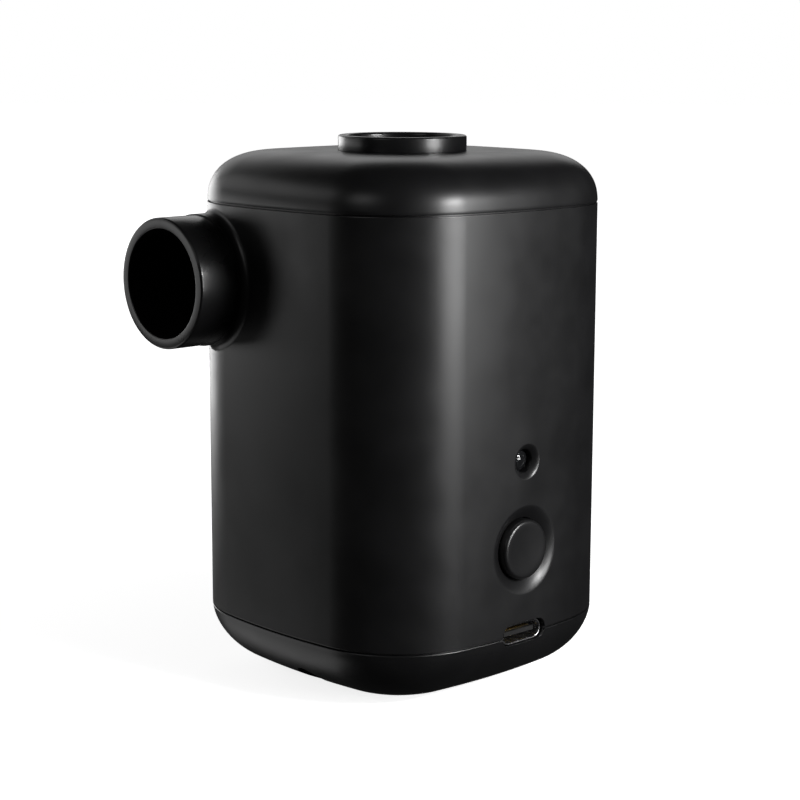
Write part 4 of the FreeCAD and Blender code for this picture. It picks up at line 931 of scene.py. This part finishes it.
# Placed and balanced by comparing renders with the photograph's brightness: name, azimuth and
# elevation in degrees, distance, width and height in metres, power in watts.
LIGHTS = (("key_panel", 13, 3, 0.36, 0.15, 0.09, 0.66),
          ("key_high", 14, 21, 0.38, 0.10, 0.04, 1.3),
          ("left_bank", -150, -1, 1.0, 1.0, 0.22, 1.05),
          ("left_high", -150, 26, 1.0, 0.9, 0.35, 0.9),
          ("left_side", -84, 28, 1.0, 0.34, 0.30, 0.5),
          ("far_back", 172, 1, 1.0, 0.5, 0.4, 3.0),
          ("right_back", 146, 22, 1.0, 1.0, 0.45, 1.3),
          ("floor_bounce", -150, -38, 0.6, 0.5, 0.35, 0.4))  # under the floor, which casts no shadow
WORLD_SEEN = 1.0          # brightness of the world to the camera, and to everything else
WORLD_FILL = 0.014


def make_camera():
    """Camera at the photograph's viewing angle, with its lens and its slight roll."""
    back = Vector((math.sin(CAMERA_AZIMUTH), -math.cos(CAMERA_AZIMUTH), 0))
    right = Vector((math.cos(CAMERA_AZIMUTH), math.sin(CAMERA_AZIMUTH), 0))
    ahead = -back * math.cos(CAMERA_DOWN) - Vector((0, 0, math.sin(CAMERA_DOWN)))
    up = right.cross(ahead)
    across = right * math.cos(CAMERA_ROLL) + up * math.sin(CAMERA_ROLL)
    upright = across.cross(ahead)
    data = bpy.data.cameras.new("camera")
    data.lens = CAMERA_LENS
    data.clip_start = CAMERA_NEAR
    camera = bpy.data.objects.new("camera", data)
    turn = Matrix((across, upright, -ahead)).transposed()
    place = back * CAMERA_REACH + right * CAMERA_SIDE + Vector((0, 0, CAMERA_HEIGHT))
    camera.matrix_world = Matrix.Translation(place) @ turn.to_4x4()
    bpy.context.scene.collection.objects.link(camera)
    bpy.context.scene.camera = camera


def make_floor():
    """White floor that glows a little less near the pump, a painted shade round it, and gives the pump no
    light, shadow or reflection.
    """
    bpy.ops.mesh.primitive_circle_add(vertices=96, radius=STAGE_R, fill_type="NGON")
    floor = bpy.context.object
    floor.name = "floor"
    m = Maker("floor_with_painted_shade")
    m.link(m.ramp(m.noise(60.0), (0.86, 0.86, 0.86), (0.88, 0.88, 0.88)), m.shader.inputs["Base Color"])
    m.set(Roughness=0.9, Specular_IOR_Level=0.0, Emission_Color=(1, 1, 1, 1))
    # Emission that rises with distance from the pump: its dimmer part near the pump is painted shade.
    distance = m.node("VectorMath", Operation="LENGTH")
    m.link(m.coords, distance.inputs[0])
    glow_with_painted_shade = m.node("MapRange")
    for key, value in GLOW_WITH_PAINTED_SHADE:
        glow_with_painted_shade.inputs[key].default_value = value
    m.link(distance.outputs["Value"], glow_with_painted_shade.inputs["Value"])
    m.link(glow_with_painted_shade.outputs["Result"], m.shader.inputs["Emission Strength"])
    floor.data.materials.append(m.material)
    floor.location.z = -STAGE_DROP * MM
    floor.visible_glossy = False
    floor.visible_diffuse = False
    floor.visible_shadow = False


def area_light(name, azimuth, elevation, distance, width, height, power):
    """Soft box that faces the middle of the pump, from azimuth 0 at the controls to +90 at their right."""
    a, e = math.radians(azimuth), math.radians(elevation)
    way = Vector((math.sin(a) * math.cos(e), -math.cos(a) * math.cos(e), math.sin(e)))
    data = bpy.data.lights.new(name, "AREA")
    data.shape = "RECTANGLE"
    data.size = width
    data.size_y = height
    data.energy = power
    light = bpy.data.objects.new(name, data)
    light.location = LIGHTS_AIM + way * distance
    light.rotation_euler = way.to_track_quat("Z", "Y").to_euler()
    bpy.context.scene.collection.objects.link(light)


def make_world():
    """World that is white to the camera and only a weak fill to everything else."""
    world = bpy.data.worlds.new("studio")
    bpy.context.scene.world = world
    world.use_nodes = True
    nodes, links = world.node_tree.nodes, world.node_tree.links
    seen = nodes["Background"]
    seen.inputs["Color"].default_value = (1, 1, 1, 1)
    seen.inputs["Strength"].default_value = WORLD_SEEN
    fill = nodes.new("ShaderNodeBackground")
    fill.inputs["Color"].default_value = (1, 1, 1, 1)
    fill.inputs["Strength"].default_value = WORLD_FILL
    path = nodes.new("ShaderNodeLightPath")
    mix = nodes.new("ShaderNodeMixShader")
    links.new(path.outputs["Is Camera Ray"], mix.inputs["Fac"])
    links.new(fill.outputs["Background"], mix.inputs[1])
    links.new(seen.outputs["Background"], mix.inputs[2])
    links.new(mix.outputs["Shader"], nodes["World Output"].inputs["Surface"])


make_camera()
make_body_shell()
make_top_cover()
make_bottom_cover()
make_nozzle()
make_collar()
make_button()
make_light_pipe()
make_foot_pad()
make_usb_shell()
paint()
make_floor()
for light in LIGHTS:
    area_light(*light)
make_world()
bpy.context.scene.view_settings.view_transform = "Standard"
